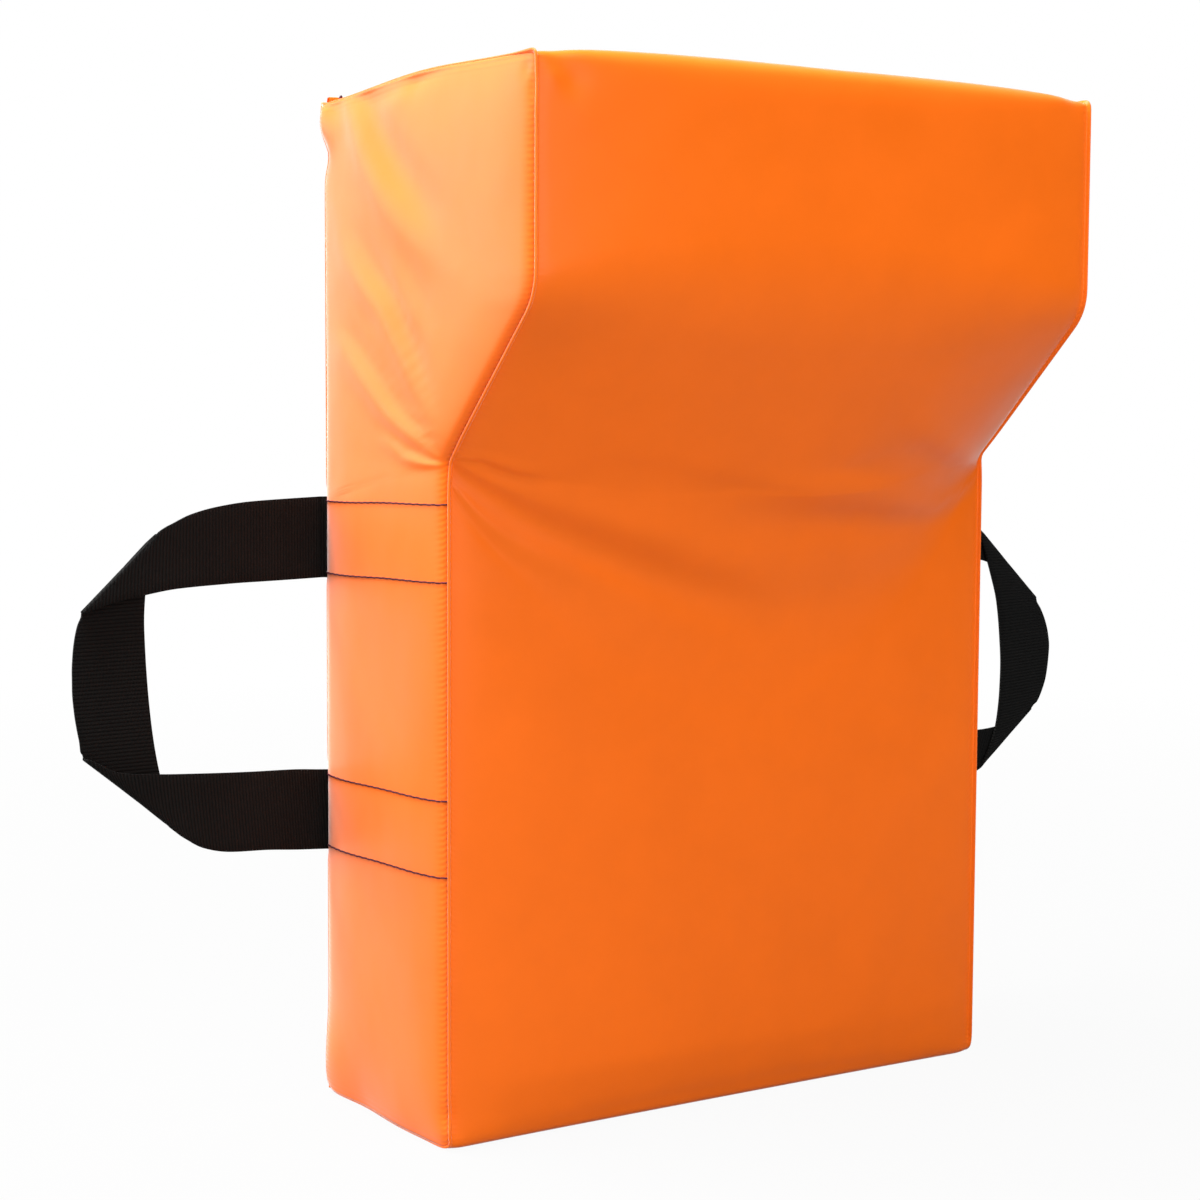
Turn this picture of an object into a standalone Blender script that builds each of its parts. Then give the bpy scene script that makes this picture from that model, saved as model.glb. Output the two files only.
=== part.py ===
"""A hand-held tackle shield in metres, standing on its base, +Z up.

X runs across the shield, Y from its front to its back, and the origin is the middle of the base.
Foam planks fill a cover of four sewn panels. Two webbing loops leave the cover at its back corners,
and each swings about the upright line where it leaves the seam.
"""

import math

import bmesh
import bpy
from mathutils import Matrix, Vector

# Body, measured over the cover's seams
BODY_WIDTH = 0.402
BODY_DEPTH = 0.152
SHIELD_HEIGHT = 0.619
TOP_FALL = 0.006
WAIST_HEIGHT = 0.399
HEAD_EDGE_HEIGHT = 0.490
HEAD_REACH = 0.093
BRIDGE_DROP = 0.082
BRIDGE_POWER = 2.2

# Cover cloth
COVER_WALL = 0.001
FIT_GAP = 0.0003
FACE_CROWN = 0.005
FACE_CROWN_POWER = 3.0
CROWN_RUN = 0.030
SIDE_CROWN = 0.005
SIDE_CROWN_POWER = 3.0
SIDE_HEIGHT_POWER = 6.0
BACK_CROWN = 0.004
PINCH_DEPTH = 0.003
PINCH_REACH = 0.016

# How far each rounded edge of the profile runs from its corner
TOP_ROUND = 0.005
BASE_ROUND = 0.006
HEAD_ROUND_AT_SEAM = 0.016
HEAD_ROUND_IN_MIDDLE = 0.030
WAIST_ROUND_AT_SEAM = 0.008
WAIST_ROUND_IN_MIDDLE = 0.070

# Foam
CORE_PLANKS = 3
HEAD_PLANKS = 2
FOAM_EASE_SHARE = 0.75
FOAM_BEVEL_SEGMENTS = 2

# Webbing
WEBBING_WIDTH = 0.050
WEBBING_THICKNESS = 0.0016
UPPER_STRAP_TOP = 0.374
LOWER_STRAP_TOP = 0.204
TAIL_RISE = 0.004
TAIL_FRONT_MARGIN = 0.004
TAIL_GAP = 0.0005
FOLD_RADIUS = 0.0016
LOOP_BOW_RADIUS = 0.477
LOOP_LEAD = math.radians(108)
LEFT_LOOP_REACH = 0.1735
RIGHT_LOOP_REACH = 0.186

# Thread and the sewn-up closing
THREAD_RADIUS = 0.0004
STITCH_INSET = 0.0028
LIP_HEIGHT = 0.0045
LIP_THICKNESS = 0.0024
LIP_END_MARGIN = 0.004
CLOSING_STITCH = 0.012

# Worked out from the sizes above
HALF_WIDTH = BODY_WIDTH / 2
FRONT_Y = -BODY_DEPTH / 2
BACK_Y = BODY_DEPTH / 2
BACK_HEIGHT = SHIELD_HEIGHT - TOP_FALL
HINGE_STANDOFF = WEBBING_THICKNESS / 2 + 2 * FIT_GAP
KNUCKLE_RADIUS = HINGE_STANDOFF * math.sqrt(2) - FIT_GAP
LOOP_ROOT = KNUCKLE_RADIUS + FIT_GAP
FOAM_BEVEL = max(TOP_ROUND, BASE_ROUND) * FOAM_EASE_SHARE
CUT_OVERRUN = 0.002

# Rows and columns of the panels, as shares of the side that they cross
COLUMN_SHARES = (0, 0.23, 0.47, 0.70, 0.88, 0.97, 1)
PANEL_SHARES = (0, 0.04, 0.12, 0.26, 0.42, 0.58, 0.74, 0.88, 0.96, 1)
TAIL_ROW_SHARES = (0, 0.33, 0.67, 1)

# Rungs of each loop in webbing widths: first edge in from the outermost point and down from the strap's
# top edge, then second edge likewise. The first edge is the top of the upper leg, the inside of the grip
# and the bottom of the lower leg. The lower ones are measured up from the lower strap's bottom edge.
LEFT_LOOP_SHARES = {
    "upper_leg": (
        (2.90, 0.01, 2.90, 1.00),
        (2.31, 0.03, 2.25, 1.00),
        (1.85, 0.08, 1.75, 1.01),
        (1.49, 0.16, 1.29, 1.03),
        (1.25, 0.26, 0.85, 1.09),
        (1.14, 0.31, 0.47, 1.16),
    ),
    "upper_crease": (1.05, 0.38, 0.11, 1.24),
    "upper_grip": (
        (0.98, 0.72, 0.07, 1.42),
        (0.91, 1.08, 0.03, 1.60),
        (0.89, 1.41, 0.01, 1.77),
        (0.90, 1.75, 0.00, 1.95),
        (0.92, 2.10, 0.00, 2.16),
    ),
    "lower_grip": (
        (0.95, 1.95, 0.02, 1.98),
        (0.99, 1.62, 0.05, 1.78),
        (1.07, 1.19, 0.08, 1.62),
        (1.17, 0.86, 0.09, 1.52),
    ),
    "lower_crease": (1.27, 0.49, 0.11, 1.42),
    "lower_leg": (
        (1.43, 0.35, 0.53, 1.25),
        (1.63, 0.24, 1.03, 1.19),
        (1.95, 0.16, 1.55, 1.15),
        (2.53, 0.11, 2.25, 1.10),
        (3.00, 0.05, 3.00, 1.05),
    ),
}
RIGHT_LOOP_SHARES = {
    "upper_leg": (
        (3.10, 0.02, 3.10, 1.01),
        (2.48, 0.06, 2.40, 1.04),
        (1.88, 0.28, 1.80, 1.06),
        (1.64, 0.44, 1.28, 1.12),
        (1.54, 0.52, 0.76, 1.40),
    ),
    "upper_crease": (1.46, 0.60, 0.28, 1.68),
    "upper_grip": (
        (1.34, 0.88, 0.20, 1.86),
        (1.18, 1.32, 0.10, 2.04),
        (1.06, 1.72, 0.03, 2.24),
        (0.99, 2.24, 0.00, 2.44),
    ),
    "lower_grip": (
        (0.96, 1.72, 0.02, 1.72),
        (0.97, 1.36, 0.06, 1.50),
        (1.02, 0.92, 0.14, 1.30),
        (1.12, 0.60, 0.24, 1.14),
    ),
    "lower_crease": (1.36, 0.20, 0.34, 1.02),
    "lower_leg": (
        (1.48, 0.12, 0.72, 0.86),
        (1.72, 0.04, 1.32, 0.79),
        (2.32, -0.05, 2.12, 0.86),
        (3.00, -0.03, 3.00, 0.95),
    ),
}
FOLD_STEPS = 4

# Stations along each edge of the profile, as shares of it, and steps round its corners
EDGE_SHARES = (
    (0.04, 0.15, 0.42, 0.72, 1),
    (0.4, 0.8, 1),
    (0.3, 0.65, 1),
    (0.03, 0.07, 0.18, 0.36, 0.55, 0.78, 1),
    (0.5, 1),
)
CORNER_STEPS = (3, 5, 6, 3)

ORANGE = (0.91, 0.16, 0.015, 1)
FOAM_GREY = (0.30, 0.31, 0.33, 1)
WEBBING_BLACK = (0.012, 0.011, 0.011, 1)
THREAD_PLUM = (0.060, 0.018, 0.030, 1)


def clear_scene():
    for obj in list(bpy.data.objects):
        bpy.data.objects.remove(obj, do_unlink=True)


def finish(name, colour, roughness, sheen=0.0):
    material = bpy.data.materials.new(name)
    material.use_nodes = True
    shader = material.node_tree.nodes["Principled BSDF"]
    shader.inputs["Base Color"].default_value = colour
    shader.inputs["Roughness"].default_value = roughness
    shader.inputs["Metallic"].default_value = 0
    shader.inputs["Sheen Weight"].default_value = sheen
    return material


def place(name, mesh_or_bm, material, location=(0, 0, 0)):
    """Link a new object whose mesh, drawn in world coordinates, hangs on the given location."""
    mesh = bpy.data.meshes.new(name)
    mesh_or_bm.to_mesh(mesh)
    mesh_or_bm.free()
    mesh.transform(Matrix.Translation(-Vector(location)))
    mesh.shade_smooth()
    mesh.set_sharp_from_angle(angle=math.radians(40))
    mesh.materials.append(material)
    obj = bpy.data.objects.new(name, mesh)
    obj.location = location
    bpy.context.scene.collection.objects.link(obj)
    return obj


def thicken(obj, thickness, offset):
    """Give a sheet its thickness: offset -1 puts it behind the faces, 0 on both sides."""
    solid = obj.modifiers.new("thickness", "SOLIDIFY")
    solid.thickness = thickness
    solid.offset = offset
    solid.use_even_offset = True
    return obj


def combine(obj, helper, operation, solver="EXACT"):
    boolean = obj.modifiers.new(helper.name, "BOOLEAN")
    boolean.operation = operation
    boolean.solver = solver
    boolean.object = helper
    helper.hide_render = True
    helper.display_type = "WIRE"


def grid_sheet(rows):
    """A bmesh sheet through rows of points."""
    bm = bmesh.new()
    net = [[bm.verts.new(point) for point in row] for row in rows]
    for low, high in zip(net, net[1:]):
        for a, b, c, d in zip(low, low[1:], high[1:], high):
            bm.faces.new((a, b, c, d))
    return bm


def facing(bm, outward):
    """Turn a sheet so that on the whole its faces look along outward."""
    bm.normal_update()
    if sum(face.calc_area() * face.normal.dot(Vector(outward)) for face in bm.faces) < 0:
        bmesh.ops.reverse_faces(bm, faces=bm.faces[:])
    return bm


def inset_chain(points, inset):
    """Points of an open outline in the YZ plane moved inwards, each edge by the same distance."""
    edges = []
    for start, end in zip(points, points[1:]):
        along = (end - start).normalized()
        inward = Vector((0, -along.z, along.y))
        edges.append((start + inward * inset, along))
    moved = [edges[0][0]]
    for (start, along), (other, onward) in zip(edges, edges[1:]):
        turn = along.y * onward.z - along.z * onward.y
        reach = ((other - start).y * onward.z - (other - start).z * onward.y) / turn
        moved.append(start + along * reach)
    last_start, last_along = edges[-1]
    moved.append(last_start + last_along * (points[-1] - points[-2]).length)
    return moved


def profile_corners(share, inset, bridged):
    """The cover's outline from its top back edge over the front to its bottom back edge."""
    end_y = BACK_Y - COVER_WALL - FIT_GAP
    drop = BRIDGE_DROP * (1 - share**BRIDGE_POWER) if bridged else 0
    outline = (
        (end_y, BACK_HEIGHT),
        (FRONT_Y - HEAD_REACH, SHIELD_HEIGHT),
        (FRONT_Y - HEAD_REACH, HEAD_EDGE_HEIGHT),
        (FRONT_Y, WAIST_HEIGHT - drop),
        (FRONT_Y, 0),
        (end_y, 0),
    )
    return inset_chain([Vector((0, y, z)) for y, z in outline], inset)


def mixed(at_seam, in_middle, share):
    return in_middle + (at_seam - in_middle) * share**BRIDGE_POWER


def rounded_profile(share, inset=0.0, bridged=True):
    """Stations along the outline, with each corner rounded by a quadratic curve."""
    corners = profile_corners(share, inset, bridged)
    rounds = (
        TOP_ROUND,
        mixed(HEAD_ROUND_AT_SEAM, HEAD_ROUND_IN_MIDDLE, share if bridged else 1),
        mixed(WAIST_ROUND_AT_SEAM, WAIST_ROUND_IN_MIDDLE, share if bridged else 1),
        BASE_ROUND,
    )
    stations = [corners[0]]
    for index, reach in enumerate(rounds):
        before, corner, after = corners[index : index + 3]
        start = corner + (before - corner).normalized() * reach
        end = corner + (after - corner).normalized() * reach
        last = stations[-1]
        stations += [last.lerp(start, along) for along in EDGE_SHARES[index]]
        for step in range(1, CORNER_STEPS[index] + 1):
            t = step / CORNER_STEPS[index]
            stations.append(start.lerp(corner, t).lerp(corner.lerp(end, t), t))
    last = stations[-1]
    stations += [last.lerp(corners[-1], along) for along in EDGE_SHARES[-1]]
    return stations


def pinch(height):
    """How far the side seams are drawn in at a height: most at the waist."""
    return PINCH_DEPTH * math.exp(-(((height - WAIST_HEIGHT) / PINCH_REACH) ** 2))


def crowned_profile(share):
    """The profile at a share of the half width, swollen outwards between the seams but flat at the foot."""
    stations = rounded_profile(share)
    swell = FACE_CROWN * (1 - share**FACE_CROWN_POWER)
    crowned = []
    for index, point in enumerate(stations):
        before = stations[max(index - 1, 0)]
        after = stations[min(index + 1, len(stations) - 1)]
        along = (after - before).normalized()
        outward = Vector((0, along.z, -along.y))
        room = min(1, (BACK_Y - point.y) / CROWN_RUN) ** 2
        foot = min(1, max(0, point.z - BASE_ROUND) / CROWN_RUN)
        weight = (1 + min(0, outward.z)) * room * foot
        crowned.append(point + outward * swell * weight)
    return crowned


def wrap_panel(material):
    """Top, front and bottom in one strip, from seam to seam."""
    rows = []
    for share in [-s for s in reversed(COLUMN_SHARES[1:])] + list(COLUMN_SHARES):
        row = []
        for point in crowned_profile(abs(share)):
            half = HALF_WIDTH - pinch(point.z)
            row.append(Vector((share * half, point.y, point.z)))
        rows.append(row)
    bm = facing(grid_sheet(rows), (0, -1, 0))
    return thicken(place("wrap_panel", bm, material), COVER_WALL, -1)


def front_seam_y(height):
    """Where the front seam lies at a height, its corners left sharp."""
    if height <= WAIST_HEIGHT:
        return FRONT_Y
    rise = (height - WAIST_HEIGHT) / (HEAD_EDGE_HEIGHT - WAIST_HEIGHT)
    return FRONT_Y - HEAD_REACH * min(1, rise)


def side_x(y, z):
    """Half the body's width over the side panel, which swells between its seams."""
    front = front_seam_y(z)
    across = min(1, max(0, (y - front) / (BACK_Y - front)))
    up = min(1, max(0, z / SHIELD_HEIGHT))
    swell = (1 - abs(2 * across - 1) ** SIDE_CROWN_POWER) * (1 - abs(2 * up - 1) ** SIDE_HEIGHT_POWER)
    return HALF_WIDTH + SIDE_CROWN * swell - pinch(z) * (1 - across) ** 2


def length_shares(points):
    """How far along a chain each of its points lies, from 0 to 1."""
    runs = [0]
    for start, end in zip(points, points[1:]):
        runs.append(runs[-1] + (end - start).length)
    return [run / runs[-1] for run in runs]


def lerp_along(points, share):
    """The point of a chain at a share of its length."""
    shares = length_shares(points)
    index = max(i for i in range(len(points) - 1) if shares[i] <= share)
    step = shares[index + 1] - shares[index]
    return points[index].lerp(points[index + 1], (share - shares[index]) / step)


def side_panel(name, side, material):
    """A gusset of the shield's own outline, laid inside the strip and filled from its four edges."""
    inset = COVER_WALL + FIT_GAP
    outline = rounded_profile(1, inset, bridged=False)
    top_corner = len(EDGE_SHARES[0]) + CORNER_STEPS[0] // 2
    base_corner = len(outline) - 1 - len(EDGE_SHARES[-1]) - CORNER_STEPS[-1] // 2
    front = outline[top_corner : base_corner + 1]
    top = outline[top_corner::-1]
    base = outline[base_corner:]
    rows = []
    for front_point, down in zip(front, length_shares(front)):
        row = []
        for share in PANEL_SHARES:
            across = front_point.lerp(top[-1].lerp(base[-1], down), share)
            along = lerp_along(top, share).lerp(lerp_along(base, share), down)
            corners = top[0].lerp(top[-1], share).lerp(base[0].lerp(base[-1], share), down)
            point = across + along - corners
            edge = share in (0, 1) or down in (0, 1)
            half = HALF_WIDTH - pinch(point.z) * (1 - share) ** 2 if edge else side_x(point.y, point.z)
            row.append(Vector((side * half, point.y, point.z)))
        rows.append(row)
    bm = facing(grid_sheet(rows), (side, 0, 0))
    return thicken(place(name, bm, material), COVER_WALL, -1)


def back_panel(material):
    """The flat back, laid over the ends of the other three panels."""
    low = COVER_WALL
    rows = []
    for up in PANEL_SHARES:
        row = []
        for across in PANEL_SHARES:
            swell = (1 - abs(2 * across - 1) ** SIDE_CROWN_POWER) * (1 - abs(2 * up - 1) ** SIDE_CROWN_POWER)
            x = HALF_WIDTH * (2 * across - 1)
            row.append(Vector((x, BACK_Y + BACK_CROWN * swell, low + (BACK_HEIGHT - low) * up)))
        rows.append(row)
    bm = facing(grid_sheet(rows), (0, 1, 0))
    return thicken(place("back_panel", bm, material), COVER_WALL, -1)


def foam_block(name, outline, material):
    """A plank cut to an outline in the YZ plane and laid across the whole width."""
    reach = HALF_WIDTH - COVER_WALL - TAIL_GAP - WEBBING_THICKNESS - FIT_GAP
    bm = bmesh.new()
    face = bm.faces.new([bm.verts.new((-reach, y, z)) for y, z in outline])
    moved = bmesh.ops.extrude_face_region(bm, geom=[face])
    corners = [item for item in moved["geom"] if isinstance(item, bmesh.types.BMVert)]
    bmesh.ops.translate(bm, verts=corners, vec=(2 * reach, 0, 0))
    bmesh.ops.recalc_face_normals(bm, faces=bm.faces[:])
    bmesh.ops.bevel(
        bm,
        geom=bm.edges[:],
        offset=FOAM_BEVEL,
        segments=FOAM_BEVEL_SEGMENTS,
        profile=0.5,
        affect="EDGES",
        material=-1,
    )
    return place(name, bm, material)


def top_inside(y):
    """The height left for foam under the cover's top at a depth."""
    span = BACK_Y - (FRONT_Y - HEAD_REACH)
    fall = TOP_FALL * (y - (FRONT_Y - HEAD_REACH)) / span
    return SHIELD_HEIGHT - fall - COVER_WALL - 2 * FIT_GAP


def foam_core(material):
    """Upright planks fill the depth, and shorter ones with a slanted foot fill the head."""
    skin = COVER_WALL + FIT_GAP
    base = skin
    pitch = (BODY_DEPTH - 2 * skin + FIT_GAP) / CORE_PLANKS
    names = ("core_front_plank", "core_middle_plank", "core_back_plank")
    blocks = []
    for index in range(CORE_PLANKS):
        near = FRONT_Y + skin + index * pitch
        far = near + pitch - FIT_GAP
        outline = ((near, base), (far, base), (far, top_inside(far)), (near, top_inside(near)))
        blocks.append(foam_block(names[index], outline, material))
    slope = (HEAD_EDGE_HEIGHT - WAIST_HEIGHT) / HEAD_REACH
    lift = skin * math.hypot(1, slope)
    head_pitch = HEAD_REACH / HEAD_PLANKS
    head_names = ("head_inner_plank", "head_outer_plank")
    for index in range(HEAD_PLANKS):
        far = FRONT_Y + skin - FIT_GAP - index * head_pitch
        near = far - head_pitch + FIT_GAP
        foot_far = WAIST_HEIGHT + (FRONT_Y - far) * slope + lift
        foot_near = WAIST_HEIGHT + (FRONT_Y - near) * slope + lift
        foot = [(near, foot_near), (far, foot_far)]
        if index == HEAD_PLANKS - 1:
            cut = HEAD_ROUND_IN_MIDDLE / 2
            level = cut / math.hypot(1, slope)
            foot[:1] = [(near, foot_near + cut), (near + level, foot_near - slope * level)]
        outline = (*foot, (far, top_inside(far)), (near, top_inside(near)))
        blocks.append(foam_block(head_names[index], outline, material))
    return blocks


def hinge_axis(side):
    """The upright line outside a back corner that a loop swings about."""
    return Vector((side * (HALF_WIDTH + HINGE_STANDOFF), BACK_Y + HINGE_STANDOFF, 0))


def tail_bottom(strap_top, y):
    """A tail's lower edge, which climbs a little towards the front."""
    return strap_top - WEBBING_WIDTH + TAIL_RISE * (BACK_Y - y) / BODY_DEPTH


def webbing_tail(name, side, strap_top, material):
    """The sewn-in end of a strap: inside the side panel, out through the back corner to its knuckle."""
    depth_in = COVER_WALL + TAIL_GAP + WEBBING_THICKNESS / 2
    start = FRONT_Y + TAIL_FRONT_MARGIN
    turn = BACK_Y - depth_in
    axis = hinge_axis(side)
    rows = []
    for up in TAIL_ROW_SHARES:
        row = []
        for share in PANEL_SHARES:
            y = start + (turn - start) * share
            z = tail_bottom(strap_top, y) + WEBBING_WIDTH * up
            inner = HALF_WIDTH if share == 1 else side_x(y, z)
            row.append(Vector((side * (inner - depth_in), y, z)))
        row.append(Vector((axis.x, axis.y, tail_bottom(strap_top, BACK_Y) + WEBBING_WIDTH * up)))
        rows.append(row)
    tail = thicken(place(name, facing(grid_sheet(rows), (side, 0, 0)), material), WEBBING_THICKNESS, 0)
    bm = bmesh.new()
    bmesh.ops.create_cone(
        bm,
        cap_ends=True,
        segments=16,
        radius1=KNUCKLE_RADIUS,
        radius2=KNUCKLE_RADIUS,
        depth=WEBBING_WIDTH,
        matrix=Matrix.Translation((axis.x, axis.y, strap_top - WEBBING_WIDTH / 2)),
    )
    combine(tail, place(name + "_knuckle", bm, material), "UNION")
    return tail


def exit_cutter(name, side, strap_top, material):
    """A bar on the corner's diagonal that opens both panels for a strap."""
    reach = HINGE_STANDOFF * 4
    half_slot = WEBBING_THICKNESS / 2 + FIT_GAP
    bm = bmesh.new()
    bmesh.ops.create_cube(bm, size=1)
    size = Matrix.Diagonal((2 * reach, 2 * half_slot, WEBBING_WIDTH + 2 * CUT_OVERRUN, 1))
    centre = Vector((side * HALF_WIDTH, BACK_Y, strap_top - WEBBING_WIDTH / 2))
    turned = Matrix.Rotation(side * math.radians(45), 4, "Z")
    bmesh.ops.transform(bm, matrix=Matrix.Translation(centre) @ turned @ size, verts=bm.verts[:])
    return place(name, bm, material)


def on_loop(side, along, height, lift):
    """A point of a loop: distance along its bow, height, and lift towards the shield's front."""
    heading = LOOP_LEAD - along / LOOP_BOW_RADIUS
    out = LOOP_BOW_RADIUS * (math.cos(heading) - math.cos(LOOP_LEAD)) + lift * math.cos(heading)
    back = LOOP_BOW_RADIUS * (math.sin(LOOP_LEAD) - math.sin(heading)) - lift * math.sin(heading)
    axis = hinge_axis(side)
    return Vector((axis.x + side * out, axis.y + back, height))


def rungs_from(shares, reach, edge, direction):
    """Pairs of (along, height) for the two edges, from shares of the webbing's width."""
    rungs = []
    for first_in, first_off, second_in, second_off in shares:
        first = (reach - first_in * WEBBING_WIDTH, edge + direction * first_off * WEBBING_WIDTH)
        second = (reach - second_in * WEBBING_WIDTH, edge + direction * second_off * WEBBING_WIDTH)
        rungs.append((first, second))
    return rungs


def folded_rungs(crease, before_layer, after_layer, turn):
    """The rungs that carry a strap round its crease by half a turn, slipping along it as they go."""
    first, second = (Vector(end) for end in crease)
    run = (second - first).normalized()
    away = Vector((-run.y, run.x)) * turn
    turned = []
    for step in range(FOLD_STEPS + 1):
        angle = math.pi * step / FOLD_STEPS
        slip = run * turn * FOLD_RADIUS * (angle - math.pi / 2)
        moved = away * FOLD_RADIUS * (math.sin(angle) - 1) + slip
        layer = before_layer + (after_layer - before_layer) * (1 - math.cos(angle)) / 2
        turned.append((first + moved, second + moved, layer))
    return turned


def webbing_loop(name, side, reach, shares, grip_layer, material):
    """One strap: a leg out, a fold, the upright grip, a fold and the other leg back."""
    upper_low = UPPER_STRAP_TOP - WEBBING_WIDTH
    lower_low = LOWER_STRAP_TOP - WEBBING_WIDTH
    grip = grip_layer * 2 * FOLD_RADIUS
    down = (reach, UPPER_STRAP_TOP, -1)
    up = (reach, lower_low, 1)
    upper_crease = rungs_from((shares["upper_crease"],), *down)[0]
    lower_crease = rungs_from((shares["lower_crease"],), *up)[0]
    rungs = [((LOOP_ROOT, UPPER_STRAP_TOP), (LOOP_ROOT, upper_low), 0)]
    rungs += [(*rung, 0) for rung in rungs_from(shares["upper_leg"], *down)]
    rungs += folded_rungs(upper_crease, 0, grip, 1)
    rungs += [(*rung, grip) for rung in rungs_from(shares["upper_grip"], *down)]
    rungs += [(*rung, grip) for rung in rungs_from(shares["lower_grip"], *up)]
    rungs += folded_rungs(lower_crease, grip, 0, -1)
    rungs += [(*rung, 0) for rung in rungs_from(shares["lower_leg"], *up)]
    rungs.append(((LOOP_ROOT, lower_low), (LOOP_ROOT, LOWER_STRAP_TOP), 0))
    rows = []
    for first, second, layer in rungs:
        rows.append([on_loop(side, *edge, layer) for edge in (first, second)])
    bm = facing(grid_sheet(rows), (0, -1, 0))
    return thicken(place(name, bm, material, hinge_axis(side)), WEBBING_THICKNESS, 0)


def thread_row(name, side, strap_top, inset, material):
    """A line of stitching that holds one edge of a tail to its side panel."""
    lift = FIT_GAP + THREAD_RADIUS
    margin = COVER_WALL + TAIL_GAP + THREAD_RADIUS
    start = FRONT_Y + margin
    end = BACK_Y - margin - WEBBING_THICKNESS
    curve = bpy.data.curves.new(name, "CURVE")
    curve.dimensions = "3D"
    curve.bevel_depth = THREAD_RADIUS
    curve.bevel_resolution = 0
    curve.use_fill_caps = True
    spline = curve.splines.new("POLY")
    spline.points.add(len(PANEL_SHARES) * 2 - 2)
    for index, point in enumerate(spline.points):
        low = PANEL_SHARES[index // 2]
        share = low if index % 2 == 0 else (low + PANEL_SHARES[index // 2 + 1]) / 2
        y = start + (end - start) * share
        z = tail_bottom(strap_top, y) + inset
        point.co = (side * (side_x(y, z) + lift), y, z, 1)
    curve.materials.append(material)
    obj = bpy.data.objects.new(name, curve)
    bpy.context.scene.collection.objects.link(obj)
    return obj


def closing_lip(material):
    """The turned-up edges of the top and back, along the seam that closes the cover."""
    low = BACK_HEIGHT + FIT_GAP
    far = BACK_Y + FIT_GAP
    near = far - LIP_THICKNESS
    reach = HALF_WIDTH - LIP_END_MARGIN
    bm = bmesh.new()
    outline = ((near, low), (far, low), (far, low + LIP_HEIGHT), (near, low + LIP_HEIGHT))
    face = bm.faces.new([bm.verts.new((-reach, y, z)) for y, z in outline])
    moved = bmesh.ops.extrude_face_region(bm, geom=[face])
    corners = [item for item in moved["geom"] if isinstance(item, bmesh.types.BMVert)]
    bmesh.ops.translate(bm, verts=corners, vec=(2 * reach, 0, 0))
    bmesh.ops.recalc_face_normals(bm, faces=bm.faces[:])
    upper = [edge for edge in bm.edges if all(vert.co.z > low for vert in edge.verts)]
    bmesh.ops.bevel(
        bm,
        geom=upper,
        offset=LIP_THICKNESS / 3,
        segments=2,
        profile=0.5,
        affect="EDGES",
        material=-1,
    )
    return place("closing_lip", bm, material)


def closing_stitches(material):
    """One coarse zigzag of thread on the back of the lip."""
    reach = HALF_WIDTH - LIP_END_MARGIN - 2 * THREAD_RADIUS
    count = 2 * round(reach / CLOSING_STITCH)
    y = BACK_Y + 2 * FIT_GAP + THREAD_RADIUS
    low = BACK_HEIGHT + 2 * FIT_GAP + THREAD_RADIUS
    high = low + LIP_HEIGHT - 2 * THREAD_RADIUS
    curve = bpy.data.curves.new("closing_stitches", "CURVE")
    curve.dimensions = "3D"
    curve.bevel_depth = THREAD_RADIUS
    curve.bevel_resolution = 0
    curve.use_fill_caps = True
    spline = curve.splines.new("POLY")
    spline.points.add(count)
    for index, point in enumerate(spline.points):
        x = -reach + 2 * reach * index / count
        point.co = (x, y, high if index % 2 else low, 1)
    curve.materials.append(material)
    obj = bpy.data.objects.new("closing_stitches", curve)
    bpy.context.scene.collection.objects.link(obj)
    return obj


def build():
    clear_scene()
    vinyl = finish("orange_vinyl", ORANGE, 0.38)
    foam = finish("grey_foam", FOAM_GREY, 0.95)
    webbing = finish("black_webbing", WEBBING_BLACK, 0.75, sheen=0.2)
    thread = finish("plum_thread", THREAD_PLUM, 0.6)

    foam_core(foam)
    wrap_panel(vinyl)
    back = back_panel(vinyl)
    closing_lip(vinyl)
    closing_stitches(thread)
    straps = (("upper", UPPER_STRAP_TOP), ("lower", LOWER_STRAP_TOP))
    for word, side in (("left", -1), ("right", 1)):
        panel = side_panel(f"{word}_side_panel", side, vinyl)
        for level, strap_top in straps:
            webbing_tail(f"{word}_{level}_webbing_tail", side, strap_top, webbing)
            cutter = exit_cutter(f"{word}_{level}_exit_cutter", side, strap_top, vinyl)
            combine(panel, cutter, "DIFFERENCE", solver="MANIFOLD")
            combine(back, cutter, "DIFFERENCE", solver="MANIFOLD")
            rows = (("top", WEBBING_WIDTH - STITCH_INSET), ("bottom", STITCH_INSET))
            for edge, inset in rows:
                thread_row(f"{word}_{level}_stitching_{edge}", side, strap_top, inset, thread)
    webbing_loop("left_handle", -1, LEFT_LOOP_REACH, LEFT_LOOP_SHARES, -1, webbing)
    webbing_loop("right_handle", 1, RIGHT_LOOP_REACH, RIGHT_LOOP_SHARES, 1, webbing)


build()
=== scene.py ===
import math

import bmesh
import bpy
import numpy as np
from mathutils import Matrix, Vector


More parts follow.
